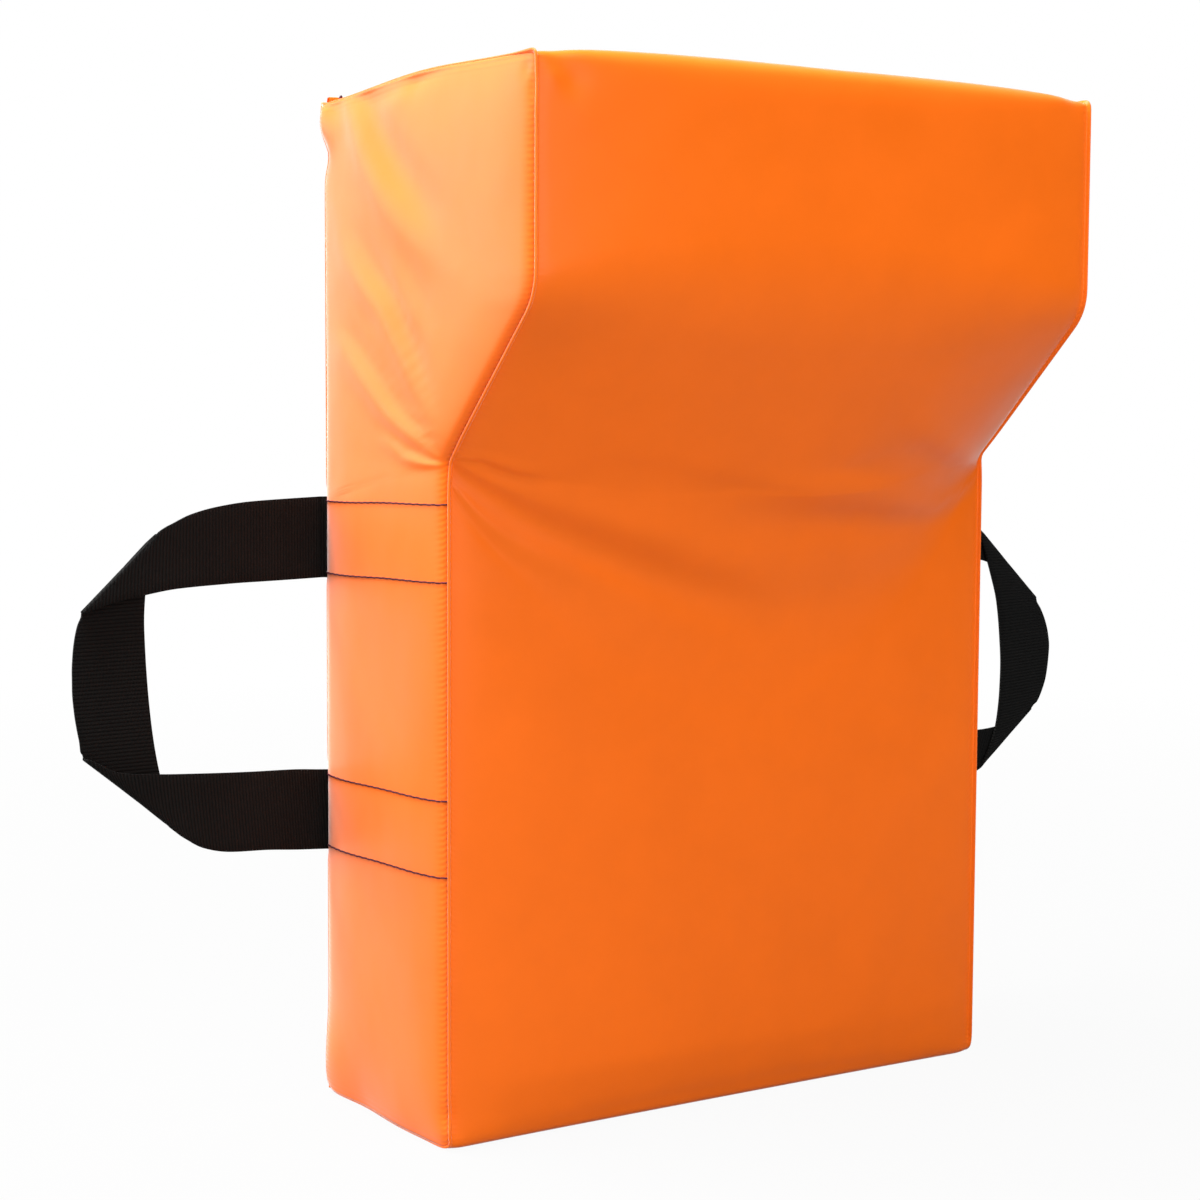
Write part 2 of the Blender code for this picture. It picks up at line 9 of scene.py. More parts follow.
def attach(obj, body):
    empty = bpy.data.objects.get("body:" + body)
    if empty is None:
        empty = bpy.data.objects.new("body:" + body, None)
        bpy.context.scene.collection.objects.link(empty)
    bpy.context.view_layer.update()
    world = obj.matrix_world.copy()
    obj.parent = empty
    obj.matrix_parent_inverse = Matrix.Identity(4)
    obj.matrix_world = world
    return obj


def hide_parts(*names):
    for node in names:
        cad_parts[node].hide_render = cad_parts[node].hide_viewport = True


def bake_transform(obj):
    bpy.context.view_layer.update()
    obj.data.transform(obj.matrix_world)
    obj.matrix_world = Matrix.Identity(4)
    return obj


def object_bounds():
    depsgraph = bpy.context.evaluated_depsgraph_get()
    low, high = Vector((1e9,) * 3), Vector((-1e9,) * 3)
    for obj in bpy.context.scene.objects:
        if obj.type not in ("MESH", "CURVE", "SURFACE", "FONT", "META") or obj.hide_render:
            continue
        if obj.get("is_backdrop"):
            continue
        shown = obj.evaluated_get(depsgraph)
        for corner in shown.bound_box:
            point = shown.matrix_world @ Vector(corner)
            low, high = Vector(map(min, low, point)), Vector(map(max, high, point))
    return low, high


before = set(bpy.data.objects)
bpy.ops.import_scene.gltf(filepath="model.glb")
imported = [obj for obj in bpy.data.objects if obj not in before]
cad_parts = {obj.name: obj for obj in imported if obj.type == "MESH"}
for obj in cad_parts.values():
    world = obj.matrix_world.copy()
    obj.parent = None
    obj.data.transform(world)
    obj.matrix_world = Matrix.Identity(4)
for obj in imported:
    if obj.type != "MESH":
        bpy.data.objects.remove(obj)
cad_low, cad_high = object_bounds()
print("solids:", len(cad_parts), "box:", [round(v, 4) for v in (*cad_low, *cad_high)])

# %% [markdown]
# The camera comes first, because every later choice is judged through it. It stands to the left of
# the shield and a little above its middle, and a 73 mm lens keeps the upright edges nearly parallel.
# Its turning is built from three directions, ahead, right and up, because that is easy to check.
# %% Camera
def new_object(name, data):
    """An object in the scene for a mesh, a curve, a lamp or a camera."""
    thing = bpy.data.objects.new(name, data)
    bpy.context.scene.collection.objects.link(thing)
    return thing


EYE = Vector((-0.8845, -1.2756, 0.4393))
YAW, PITCH, ROLL = 0.5805, -0.0853, 0.0048

ahead = Vector((math.sin(YAW) * math.cos(PITCH), math.cos(YAW) * math.cos(PITCH), math.sin(PITCH)))
level = Vector((math.cos(YAW), -math.sin(YAW), 0))
overhead = level.cross(ahead)
right = level * math.cos(ROLL) + overhead * math.sin(ROLL)
upward = overhead * math.cos(ROLL) - level * math.sin(ROLL)

lens = bpy.data.cameras.new("camera")
lens.lens = 73.14
lens.sensor_width = 36
camera = new_object("camera", lens)
camera.matrix_world = Matrix.Translation(EYE) @ Matrix((right, upward, -ahead)).transposed().to_4x4()
bpy.context.scene.camera = camera
bpy.context.scene.view_settings.view_transform = "Standard"
print("camera at", tuple(round(v, 3) for v in EYE), "looking along", tuple(round(v, 3) for v in ahead))


# %% [markdown]
# Materials are graphs of nodes, and they read better when one line makes one node. So one helper
# fills the inputs of a node with numbers or with other nodes' outputs, and one adds a node and fills
# it. The others make what comes up most: a sum, a colour between two others, and a new material.
# %% Helpers that add nodes
def fill(tree, node, inputs):
    """Each input takes a number or colour, or a link from another node's output."""
    for name, value in inputs.items():
        if isinstance(value, bpy.types.NodeSocket):
            tree.links.new(value, node.inputs[name])
        else:
            node.inputs[name].default_value = value


def add(tree, kind, inputs, **options):
    """One node of a kind, with its options set and its inputs filled."""
    node = tree.nodes.new("ShaderNode" + kind)
    for name, value in options.items():
        setattr(node, name, value)
    fill(tree, node, inputs)
    return node


def maths(tree, operation, *values):
    """One Math node on up to three values."""
    return add(tree, "Math", dict(enumerate(values)), operation=operation).outputs[0]


def ramp(tree, value, dark, light):
    """A colour between two others, by a value from 0 to 1."""
    node = add(tree, "ValToRGB", {"Fac": value})
    node.color_ramp.elements[0].color = (*dark, 1)
    node.color_ramp.elements[1].color = (*light, 1)
    return node.outputs["Color"]


def new_material(name):
    """A material, its tree, its Principled shader, and the place of each point on its object."""
    material = bpy.data.materials.new(name)
    material.use_nodes = True
    tree = material.node_tree
    return material, tree, tree.nodes["Principled BSDF"], add(tree, "TexCoord", {}).outputs["Object"]


print("helpers ready")

# %% [markdown]
# The studio is a pale floor and plain soft light. What the camera sees of the floor is nearly white,
# so the shield stands in an empty page, yet a trace of its shadow stays and seats it. The Light Path
# node does this: it brightens the floor for the eye and a little for reflections. To the lamps the
# paper is grey, because a white one would throw light up under the head and wash the folds out.
# %% Floor
bm = bmesh.new()
bmesh.ops.create_grid(bm, x_segments=1, y_segments=1, size=9)
floor_mesh = bpy.data.meshes.new("studio_floor")
bm.to_mesh(floor_mesh)
bm.free()
floor_mesh.transform(Matrix.Translation((0, 0, -0.0003)))
floor = new_object("studio_floor", floor_mesh)
floor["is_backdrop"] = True

floor_paper, tree, shader, place = new_material("floor_paper")
speckle = add(tree, "TexNoise", {"Scale": 14.0, "Detail": 3.0})
paper = ramp(tree, speckle.outputs["Fac"], (0.19, 0.19, 0.19), (0.23, 0.23, 0.23))
fill(tree, shader, {"Base Color": paper, "Roughness": 0.9})
path = add(tree, "LightPath", {})
mirrored = maths(tree, "MULTIPLY", path.outputs["Is Glossy Ray"], 0.4)
seen = maths(tree, "MAXIMUM", path.outputs["Is Camera Ray"], mirrored)
seen = maths(tree, "MAXIMUM", seen, path.outputs["Is Transmission Ray"])
glow = add(tree, "Emission", {"Color": (1, 1, 1, 1), "Strength": 1.0})
spot = add(tree, "VectorMath", {0: place}, operation="LENGTH")
near_and_far = {"From Min": 0.5, "From Max": 2.2, "To Min": 0.95, "To Max": 1.0}
whiter = add(tree, "MapRange", {"Value": spot.outputs["Value"], **near_and_far})
share = maths(tree, "MULTIPLY", seen, whiter.outputs["Result"])
blend = add(tree, "MixShader", {0: share, 1: shader.outputs[0], 2: glow.outputs[0]})
tree.links.new(blend.outputs[0], tree.nodes["Material Output"].inputs["Surface"])
floor_mesh.materials.append(floor_paper)
print("floor laid")

# %% [markdown]
# The side of the shield is washed with pale light: a white wall and a smaller panel stand behind it
# to the left, a third hangs over it, and the vinyl throws their light towards the eye. On the front,
# one panel high up makes the folds show and a low one fills them. All are area lamps, and the world
# is faint to the shield and white to the eye.
# %% Lamps and world
def softbox(name, place, target, width, height, power):
    data = bpy.data.lights.new(name, "AREA")
    data.shape = "RECTANGLE"
    data.size = width
    data.size_y = height
    data.energy = power
    lamp = new_object(name, data)
    lamp.location = place
    lamp.rotation_euler = (Vector(target) - Vector(place)).to_track_quat("-Z", "Y").to_euler()


softbox("side_wall", (-2.2, 1.4, 0.95), (0, 1.4, 0.95), 3.2, 1.85, 44)
softbox("side_haze", (-1.6, 1.9, 1.3), (-0.2, 0.02, 0.32), 1.8, 1.8, 32)
softbox("over_side", (-0.8, 0.3, 2.6), (-0.2, 0.0, 0.35), 1.6, 1.6, 185)
softbox("front_high", (-0.2, -2.0, 2.9), (0, 0, 0.3), 2.0, 2.0, 54)
softbox("front_low", (-0.5, -2.8, 0.8), (0, 0, 0.25), 2.4, 1.2, 40)

world = bpy.data.worlds.new("studio_world")
bpy.context.scene.world = world
world.use_nodes = True
tree = world.node_tree
path = add(tree, "LightPath", {})
seen = maths(tree, "MAXIMUM", path.outputs["Is Camera Ray"], path.outputs["Is Transmission Ray"])
strength = add(tree, "MapRange", {"Value": seen, "To Min": 0.04, "To Max": 1.0}).outputs["Result"]
fill(tree, tree.nodes["Background"], {"Color": (1, 1, 1, 1), "Strength": strength})

# %% [markdown]
# These are the pattern's sizes in metres. The body has the sizes of the solids, and the corners and
# the pinch at the waist are a little finer. The front bends forward into a head, and the cloth
# bridges the hollow below it: tight and low at the side seams, slack and wide in the middle. Naming
# the sizes once lets every panel, seam and stitch follow the same outline.
# %% Sizes of the shield
HALF_WIDTH = 0.201
FRONT_Y, BACK_Y = -0.076, 0.076
SHIELD_HEIGHT, BACK_HEIGHT = 0.619, 0.613
WAIST_HEIGHT, HEAD_EDGE_HEIGHT, HEAD_REACH = 0.399, 0.490, 0.093
BRIDGE_DROP, BRIDGE_POWER = 0.082, 2.2
FACE_CROWN, CROWN_RUN = 0.005, 0.030
SIDE_CROWN, BACK_CROWN = 0.005, 0.004
PINCH_DEPTH, PINCH_REACH = 0.0008, 0.010
TOP_ROUND, BASE_ROUND = 0.005, 0.006
HEAD_ROUNDS, WAIST_ROUNDS = (0.014, 0.030), (0.004, 0.070)
COVER_WALL = 0.001
SEAM_GAP = 0.0013

# Stations along each edge, how they gather at its two ends, and stations round each corner
EDGE_STEPS = (26, 16, 30, 64, 14)
EDGE_EASE = ((0.5, 0.5), (0.5, 0.5), (0.6, 0.25), (0.28, 0.5), (0.5, 0.5))
TURN_STEPS = (4, 7, 16, 4)
print("shield", 2 * HALF_WIDTH, "x", BACK_Y - FRONT_Y, "x", SHIELD_HEIGHT)


# %% [markdown]
# The outline is cut in the YZ plane. Five straight edges meet at four corners, and each corner is
# rounded by a quadratic curve. One array of numbers holds every station for every column across the
# shield, so the whole front is worked out at once.
# %% Outline of the cover
def eased(k):
    """Shares of edge k from just after its start to its end, closer together where its ends ask it."""
    start, end = EDGE_EASE[k]
    t = np.arange(1, EDGE_STEPS[k] + 1) / EDGE_STEPS[k]
    return start * t * (1 - t) ** 2 + t**2 * (3 - 2 * t) - end * t**2 * (1 - t)


def unit(vectors):
    return vectors / np.linalg.norm(vectors, axis=-1, keepdims=True)


def drawn_in(corners, inset):
    """Corners of an open outline moved inwards, each edge by the same distance."""
    along = unit(np.diff(corners, axis=1))
    starts = corners[:, :-1] + np.stack((-along[..., 1], along[..., 0]), -1) * inset
    moved = corners.copy()
    moved[:, 0] = starts[:, 0]
    moved[:, -1] = starts[:, -1] + corners[:, -1] - corners[:, -2]
    for k in range(1, corners.shape[1] - 1):
        here, onward, gap = along[:, k - 1], along[:, k], starts[:, k] - starts[:, k - 1]
        turn = here[:, 0] * onward[:, 1] - here[:, 1] * onward[:, 0]
        reach = (gap[:, 0] * onward[:, 1] - gap[:, 1] * onward[:, 0]) / turn
        moved[:, k] = starts[:, k - 1] + here * reach[:, None]
    return moved


def outline(share, inset=0.0, bridged=True):
    """Stations (y, z) from the top back edge over the front to the bottom back edge, by column."""
    tight = share**BRIDGE_POWER if bridged else np.ones(len(share))
    corners = np.empty((len(share), 6, 2))
    back_seam, head_front = BACK_Y - SEAM_GAP, FRONT_Y - HEAD_REACH
    corners[:, :, 0] = (back_seam, head_front, head_front, FRONT_Y, FRONT_Y, back_seam)
    corners[:, :, 1] = (BACK_HEIGHT, SHIELD_HEIGHT, HEAD_EDGE_HEIGHT, WAIST_HEIGHT, 0, 0)
    corners[:, 3, 1] -= BRIDGE_DROP * (1 - tight)
    corners = drawn_in(corners, inset)
    head = HEAD_ROUNDS[1] + (HEAD_ROUNDS[0] - HEAD_ROUNDS[1]) * tight
    waist = WAIST_ROUNDS[1] + (WAIST_ROUNDS[0] - WAIST_ROUNDS[1]) * tight
    rounds = (np.full(len(share), TOP_ROUND), head, waist, np.full(len(share), BASE_ROUND))
    stations = [corners[:, 0]]
    for k, reach in enumerate(rounds):
        before, corner, after = corners[:, k], corners[:, k + 1], corners[:, k + 2]
        start = corner + unit(before - corner) * reach[:, None]
        end = corner + unit(after - corner) * reach[:, None]
        last = stations[-1]
        stations += [last + (start - last) * s for s in eased(k)]
        for t in np.arange(1, TURN_STEPS[k] + 1) / TURN_STEPS[k]:
            stations.append((1 - t) ** 2 * start + 2 * t * (1 - t) * corner + t**2 * end)
    last = stations[-1]
    stations += [last + (corners[:, -1] - last) * s for s in eased(4)]
    return np.stack(stations, axis=1)


def bell(distance, run):
    """One where the distance is zero, falling away smoothly over a run."""
    return np.exp(-((distance / run) ** 2))


def pinch(height):
    """How far the side seams are drawn in at a height: most at the waist."""
    return PINCH_DEPTH * bell(height - WAIST_HEIGHT, PINCH_REACH)


stations = outline(np.linspace(0, 1, 3))
print("stations down the cover:", stations.shape[1])


# %% [markdown]
# Folds are what make cloth look like cloth. Each one follows a path and has two parts: a lift, which
# is a ridge or a valley along the path, and a step, which raises the cloth on the path's left and
# lowers it on the right, as one long wall. They fan out from the two points where the waist is pinched.
# %% Folds
def run_along(points):
    """The distance covered from the first point to each, along the first axis."""
    hops = np.linalg.norm(np.diff(points, axis=0), axis=-1)
    return np.concatenate((np.zeros_like(hops[:1]), np.cumsum(hops, axis=0)))


def fold_lift(places, folds):
    """The lift of every place from all the folds. Places and paths share two coordinates."""
    total = np.zeros(len(places))
    for path, widths, lifts, steps in folds:
        path = np.array(path) / 1000
        runs = run_along(path)
        nearest = np.full(len(places), np.inf)
        along = np.zeros(len(places))
        left = np.zeros(len(places))
        for k in range(len(path) - 1):
            step = path[k + 1] - path[k]
            t = np.clip((places - path[k]) @ step / (step @ step), 0, 1)
            offset = places - path[k] - t[:, None] * step
            gap = np.linalg.norm(offset, axis=1)
            closer = gap < nearest
            nearest = np.where(closer, gap, nearest)
            along = np.where(closer, (runs[k] + t * (runs[k + 1] - runs[k])) / runs[-1], along)
            left = np.where(closer, np.sign(step[0] * offset[:, 1] - step[1] * offset[:, 0]), left)
        width, lift, wall = (
            np.interp(along, np.linspace(0, 1, len(values)), values) / 1000
            for values in (widths, lifts, steps)
        )
        away = nearest / width
        total += lift * bell(nearest, width) + wall * left * away * np.exp(0.5 - 0.5 * away**2)
    return total


# Paths in (x, z) over the front, in millimetres, then widths, lifts and steps along them
FRONT_FOLDS = (
    (((-199, 401), (-186, 400), (-172, 394), (-158, 390), (-146, 391)),
     (1.6, 2.8, 3.4), (0, 0), (0.5, 1.4, 1.4, 0)),
    (((-198, 399), (-183, 388), (-168, 380), (-150, 371), (-122, 360), (-80, 345), (-36, 330),
      (11, 318), (52, 309)),
     (1.8, 8, 12, 14, 14), (0, 0), (0.6, 2.6, 3.8, 3.0, 0)),
    (((-196, 384), (-183, 371), (-167, 359), (-145, 347), (-112, 331), (-70, 314), (-20, 298)),
     (2, 7, 10), (0.4, 2.0, 2.2, 1.0, 0), (0, 0)),
    (((-196, 383), (-184, 366), (-168, 351), (-149, 339), (-129, 324)), (2, 5), (0, 0), (0.3, 1.1, 0.8, 0)),
    (((199, 388), (190, 376), (171, 365), (150, 361), (122, 363), (77, 368), (34, 370), (1, 374),
      (-24, 379)),
     (1.8, 6, 9, 10, 9), (0, 0), (0, -1.0, -2.6, -3.2, -2.6, 0)),
    (((199, 389), (177, 393), (142, 399), (115, 408), (93, 417), (75, 424)),
     (1.8, 5, 7, 9), (0, 0), (-0.3, -1.3, -1.9, -1.1, 0)),
    (((198, 388), (185, 379), (164, 373), (143, 374)), (1.6, 4), (0.4, 1.4, 1.2, 0), (0, 0)),
)
# Paths in (y, z) over the left side
LEFT_FOLDS = (
    (((-75, 400), (-59, 409), (-40, 419), (-19, 430), (6, 448), (36, 468), (59, 483)),
     (1.6, 5, 6, 7), (0, 0), (-0.4, -2.1, -2.4, -1.4, 0)),
    (((-75, 403), (-61, 416), (-46, 427), (-29, 438), (-11, 451), (11, 469)),
     (1.2, 2.6, 3.4), (0, 0), (-0.2, -0.9, -0.9, 0)),
    (((-73, 422), (-57, 439), (-39, 462), (-14, 491), (14, 511), (37, 530), (45, 546)),
     (3, 7, 9), (0, 0), (0, -2.3, -2.8, -2.1, -0.5)),
    (((-75, 398), (-57, 400), (-38, 404), (-22, 411), (-4, 417)),
     (1.4, 3.4, 4), (0, 0), (-0.4, -1.5, -1.2, 0)),
    (((-64, 468), (-47, 491), (-31, 508), (-19, 523)), (6, 9), (0, 0), (0, -1.0, -1.0, 0)),
    (((34, 612), (19, 598), (1, 576), (-21, 556), (-50, 535), (-80, 517)),
     (7, 10, 12), (0, 0), (2.4, 4.0, 4.0, 2.6, 0.3)),
    (((-31, 614), (-33, 605), (-37, 596)), (7, 5), (0, 0), (1.6, 1.2, 0)),
    (((62, 606), (52, 598), (44, 590)), (8, 9), (0, 0), (1.4, 1.4, 0)),
    (((16, 605), (-26, 609), (-84, 613)), (3.6, 2.6), (0, -1.8, -1.8, 0), (0, 0)),
)
# The right side hides from the camera: calmer folds from the same two causes
RIGHT_FOLDS = (
    (((-76, 392), (-52, 412), (-20, 436), (12, 458)), (2, 8), (0, 0), (-0.3, -1.2, -1.2, 0)),
    (((-76, 388), (-50, 390), (-20, 402), (10, 418)), (2, 6), (0, 0), (-0.2, -0.8, -0.8, 0)),
    (((76, 592), (45, 578), (10, 556), (-30, 530)), (8, 14), (-2.0, -2.4, -1.6, 0), (0, 0)),
)
print("folds:", len(FRONT_FOLDS), "front,", len(LEFT_FOLDS), "left,", len(RIGHT_FOLDS), "right")


# %% [markdown]
# Where panels meet, they have to move as one, or gaps would open along the seams. So the dents and
# bulges at the corners of the cover are pushes in space that every panel, lip and stitch obeys.
# %% Pushes that all panels share
# Centre, radius and push, in millimetres
PUSHES = (
    ((-201, 72, 600), 17, (-3.6, 0.0, -1.0)),
    ((-201, -161, 609), 3.4, (1.8, 0.0, 0.0)),
    ((-201, -166, 600), 3.0, (1.4, 0.0, 0.0)),
    ((-201, 76, 583), 9, (4.6, 0.0, 0.0)),
    ((201, 76, 586), 10, (-3.4, 0.0, 0.0)),
    ((201, 72, 604), 15, (2.4, 0.0, -1.0)),
    ((-188, -168, 616), 8, (0.0, 1.0, -1.6)),
    ((188, -168, 616), 8, (0.0, 1.0, -1.6)),
    ((-201, -45, 617), 78, (0.0, 0.0, 4.6)),
    ((-90, -40, 622), 70, (0.0, 0.0, 1.8)),
    ((120, -30, 622), 80, (0.0, 0.0, 2.2)),
    ((201, -50, 617), 78, (0.0, 0.0, 2.6)),
    ((-201, -75, 20), 7, (1.0, 1.0, 0.0)),
    ((-201, -75, 3), 5, (1.4, 0.0, 0.0)),
    ((-201, -20, 0), 22, (-1.2, 0.0, 0.0)),
    ((-201, 30, 2), 20, (1.2, 0.0, 0.0)),
    ((201, 10, 2), 24, (-1.2, 0.0, 0.0)),
    ((-201, 74, 20), 24, (-2.2, 0.0, 0.0)),
    ((201, 74, 20), 22, (1.2, 0.0, 0.0)),
    ((-202, 77, -2), 7, (1.4, -1.2, 2.2)),
    ((202, 77, -2), 7, (-1.2, -1.2, 2.0)),
    ((-201, -77, -2), 6, (0.6, 1.0, 2.0)),
    ((201, -77, -2), 6, (-0.6, 1.0, 2.0)),
    ((-178, -169, 603), 5, (0.0, 2.4, 0.0)),
    ((-181, -168, 612), 6, (0.0, 1.4, -0.8)),
    ((-190, -169, 605), 5, (0.0, -0.9, 0.0)),
)


def rumpled(points):
    moved = points.copy()
    for centre, radius, push in PUSHES:
        gap = np.linalg.norm(points - np.array(centre) / 1000, axis=-1) * 1000
        moved += bell(gap, radius)[..., None] * np.array(push) / 1000
    return moved


print("pushes:", len(PUSHES))


# %% [markdown]
# A panel starts as a flat grid with one vertex for each column and row, and each vertex then takes
# its place on the cover. Three facts stay with the vertices for the materials to read: how far the
# vertex is from the seam, how far along it, and how much painted shade it gets in the sewn groove.
# The UV map keeps the cloth's own flat metres.
# %% From a grid to a panel
def read_vectors(items, name):
    """A mesh's own vectors, such as places or normals, one to a row."""
    flat = np.empty(len(items) * 3, np.float32)
    items.foreach_get(name, flat)
    return flat.reshape(-1, 3)


def write_vectors(items, name, rows):
    items.foreach_set(name, rows.astype(np.float32).ravel())


def panel_from_grid(name, points, sewn, outward):
    """A mesh over points[column][row], with the facts in sewn on its vertices."""
    columns, rows = points.shape[:2]
    bm = bmesh.new()
    bmesh.ops.create_grid(bm, x_segments=columns - 1, y_segments=rows - 1, size=1)
    mesh = bpy.data.meshes.new(name)
    bm.to_mesh(mesh)
    bm.free()
    flat = read_vectors(mesh.vertices, "co")
    column = np.rint((flat[:, 0] + 1) / 2 * (columns - 1)).astype(int)
    row = np.rint((flat[:, 1] + 1) / 2 * (rows - 1)).astype(int)
    write_vectors(mesh.vertices, "co", points[column, row])
    across = run_along(points)
    down = run_along(points.swapaxes(0, 1)).T
    corners = np.empty(len(mesh.loops), np.int32)
    mesh.loops.foreach_get("vertex_index", corners)
    uv = np.stack((across[column, row], down[column, row]), -1)[corners]
    write_vectors(mesh.uv_layers.new(name="cloth").data, "uv", uv)
    facts = np.zeros((len(column), 3))
    facts[:, : sewn.shape[-1]] = sewn[column, row]
    write_vectors(mesh.attributes.new("sewn", "FLOAT_VECTOR", "POINT").data, "vector", facts)
    mesh.update()
    if (read_vectors(mesh.polygons, "normal") @ np.array(outward)).sum() < 0:
        mesh.flip_normals()
    mesh.shade_smooth()
    print(name, "grid", columns, "x", rows)
    return new_object(name, mesh)


# %% [markdown]
# The wrap panel is the strip that runs over the top, down the front and under the base. Along both
# long edges it is turned under and sewn to the side panels, which leaves a thin raised bead with a
# shallow dip beside it. The bead's cross-section is seven columns, so it catches the light.
# %% Wrap panel
# Each column of the turned edge: how far in from the seam, and how far out of the face, in millimetres
BEAD_SECTION = np.array((
    (1.3, -1.8), (0.6, -1.4), (0.12, -0.65), (0.0, 0.1), (0.35, 0.75), (0.95, 0.95), (1.55, 0.6),
)) / 1000
PLAIN_RISE = np.array((-2.0, -1.8, -1.2, -0.6, -0.2, 0.0, 0.0)) / 1000
TURNED_COLUMNS = 3
SEAM_DIP, SEAM_DIP_RUN = 0.0016, 0.0065
FOOT_FADE, TOP_FADE = 0.012, 0.02
UPRIGHT_UP_TO, TOP_FROM = 0.60, 0.55
FOLDS_FROM, FOLDS_UP_TO, WRAP_FOLD_START = 0.2, HEAD_EDGE_HEIGHT + 0.03, 0.005
FROM_SEAM = np.concatenate((
    np.array((2.3, 3.3, 4.7, 6.6, 9.4, 13, 18, 24, 31, 39, 48)) / 1000,
    np.linspace(0.048, HALF_WIDTH, 17)[1:],
))


def crowned(share):
    """Points (y, z) and outward directions of the swollen outline, for each column."""
    points = outline(share)
    padded = np.concatenate((points[:, :1], points, points[:, -1:]), axis=1)
    along = unit(padded[:, 2:] - padded[:, :-2])
    out = np.stack((along[..., 1], -along[..., 0]), -1)
    swell = FACE_CROWN * (1 - share**3)
    room = np.clip((BACK_Y - points[..., 0]) / CROWN_RUN, 0, 1) ** 2
    foot = np.clip((points[..., 1] - BASE_ROUND) / CROWN_RUN, 0, 1)
    weight = (1 + np.minimum(0, out[..., 1])) * room * foot
    return points + out * (swell[:, None] * weight)[..., None], out


def below_top(height):
    """One up to the head's top edges and zero beyond them."""
    return np.clip((UPRIGHT_UP_TO - height) / TOP_FADE, 0, 1)


def wrap_points():
    bead = len(BEAD_SECTION)
    from_seam = np.concatenate((np.zeros(bead), FROM_SEAM))
    share = 1 - from_seam / HALF_WIDTH
    profile, out = crowned(share)
    depth, height = profile[..., 0], profile[..., 1]
    foot = np.clip(height / FOOT_FADE, 0, 1)
    dip = SEAM_DIP * bell(FROM_SEAM, SEAM_DIP_RUN)[:, None] * foot[bead:]
    raised = BEAD_SECTION[:, 1:] - BEAD_SECTION[:, 1].max() * (1 - foot[:bead])
    top = np.clip((depth[:bead] - FRONT_Y + HEAD_REACH) / TOP_FADE, 0, 1) * (height[:bead] > TOP_FROM)
    raised += (PLAIN_RISE[:, None] - raised) * top
    rise = np.concatenate((raised, -dip))
    inward = np.concatenate((BEAD_SECTION[:, :1], np.zeros((len(FROM_SEAM), 1))))
    half = (HALF_WIDTH - pinch(height)) * share[:, None] - inward
    front = (height > FOLDS_FROM) * (height < FOLDS_UP_TO)
    sides = []
    for side in (-1, 1):
        x = side * half
        places = np.stack((x, height), -1).reshape(-1, 2)
        lift = fold_lift(places, FRONT_FOLDS).reshape(x.shape)
        lift *= front * np.clip(from_seam[:, None] / WRAP_FOLD_START, 0, 1)
        body = profile + out * (rise + lift)[..., None]
        sides.append(np.concatenate((x[..., None], body), -1))
    left, right_half = sides
    return np.concatenate((left, right_half[-2::-1])), np.concatenate((from_seam, from_seam[-2::-1]))


points, from_seam = wrap_points()
along = run_along(points[0])
# Painted shade: the bead's turned-under columns are marked for the dark groove colour, up to the head's top
# edges
painted_bead_shade = np.zeros(points.shape[:2])
painted_bead_shade[:TURNED_COLUMNS] = painted_bead_shade[-TURNED_COLUMNS:] = below_top(points[0, :, 2])
sewn = np.stack(np.broadcast_arrays(from_seam[:, None], along[None, :], painted_bead_shade), -1)
wrap = panel_from_grid("cover_wrap", rumpled(points), sewn, (0, -1, 0))
print("wrap runs", round(float(along[-1]), 3), "m from lip to back seam")


# %% [markdown]
# Each side panel is a gusset cut to the shield's outline. It is filled from its four edges: lines run
# straight from the front edge to the back one, then take on the bends of the top and the base. Vinyl
# on tight foam is flat in the middle and turns quickly down to its seams, so the swelling uses a high
# power, and the last millimetres tuck under the bead.
# %% Side panels
SIDE_SHARES = np.concatenate((
    (0, 0.005, 0.012, 0.021, 0.033, 0.048, 0.068, 0.094, 0.127, 0.165),
    np.linspace(0.21, 0.85, 15),
    (0.89, 0.922, 0.948, 0.968, 0.983, 0.993, 1),
))
TUCK_HEIGHTS, TUCK_DEPTHS = (0.30, 0.40, 0.44, 0.50, 0.56), (0.0007, 0.0016, 0.0026, 0.0018, 0.0014)
TUCK_RUN, GROOVE_SHADE_RUN, SIDE_FOLD_START = 0.0034, 0.0016, 0.004
FRONT_POWER, BACK_POWER, HEIGHT_POWER = 8, 5, 14


def length_shares(points):
    runs = run_along(points)
    return runs / runs[-1]


def along_chain(points, shares):
    own = length_shares(points)
    return np.stack([np.interp(shares, own, points[:, axis]) for axis in (0, 1)], -1)


def gusset():
    """Flat (y, z) places of the side panel, by column from the front seam and row from the top."""
    chain = outline(np.ones(1), SEAM_GAP, bridged=False)[0]
    top_corner = EDGE_STEPS[0] + TURN_STEPS[0] // 2
    base_corner = len(chain) - 1 - EDGE_STEPS[4] - TURN_STEPS[3] // 2
    front = chain[top_corner : base_corner + 1]
    top, base = chain[top_corner::-1], chain[base_corner:]
    down = length_shares(front)[None, :, None]
    share = SIDE_SHARES[:, None, None]
    back = top[-1] + (base[-1] - top[-1]) * down
    across = front[None] + (back - front[None]) * share
    top_run = along_chain(top, SIDE_SHARES)[:, None]
    base_run = along_chain(base, SIDE_SHARES)[:, None]
    top_line = top[0] + (top[-1] - top[0]) * share
    base_line = base[0] + (base[-1] - base[0]) * share
    return across + (top_run - top_line) * (1 - down) + (base_run - base_line) * down


def side_swell(share, height):
    """How far the side stands out: flat in the middle, turning down quickly to its seams."""
    power = np.where(share < 0.5, FRONT_POWER, BACK_POWER)
    up = np.clip(height / SHIELD_HEIGHT, 0, 1)
    return SIDE_CROWN * (1 - np.abs(2 * share - 1) ** power) * (1 - np.abs(2 * up - 1) ** HEIGHT_POWER)


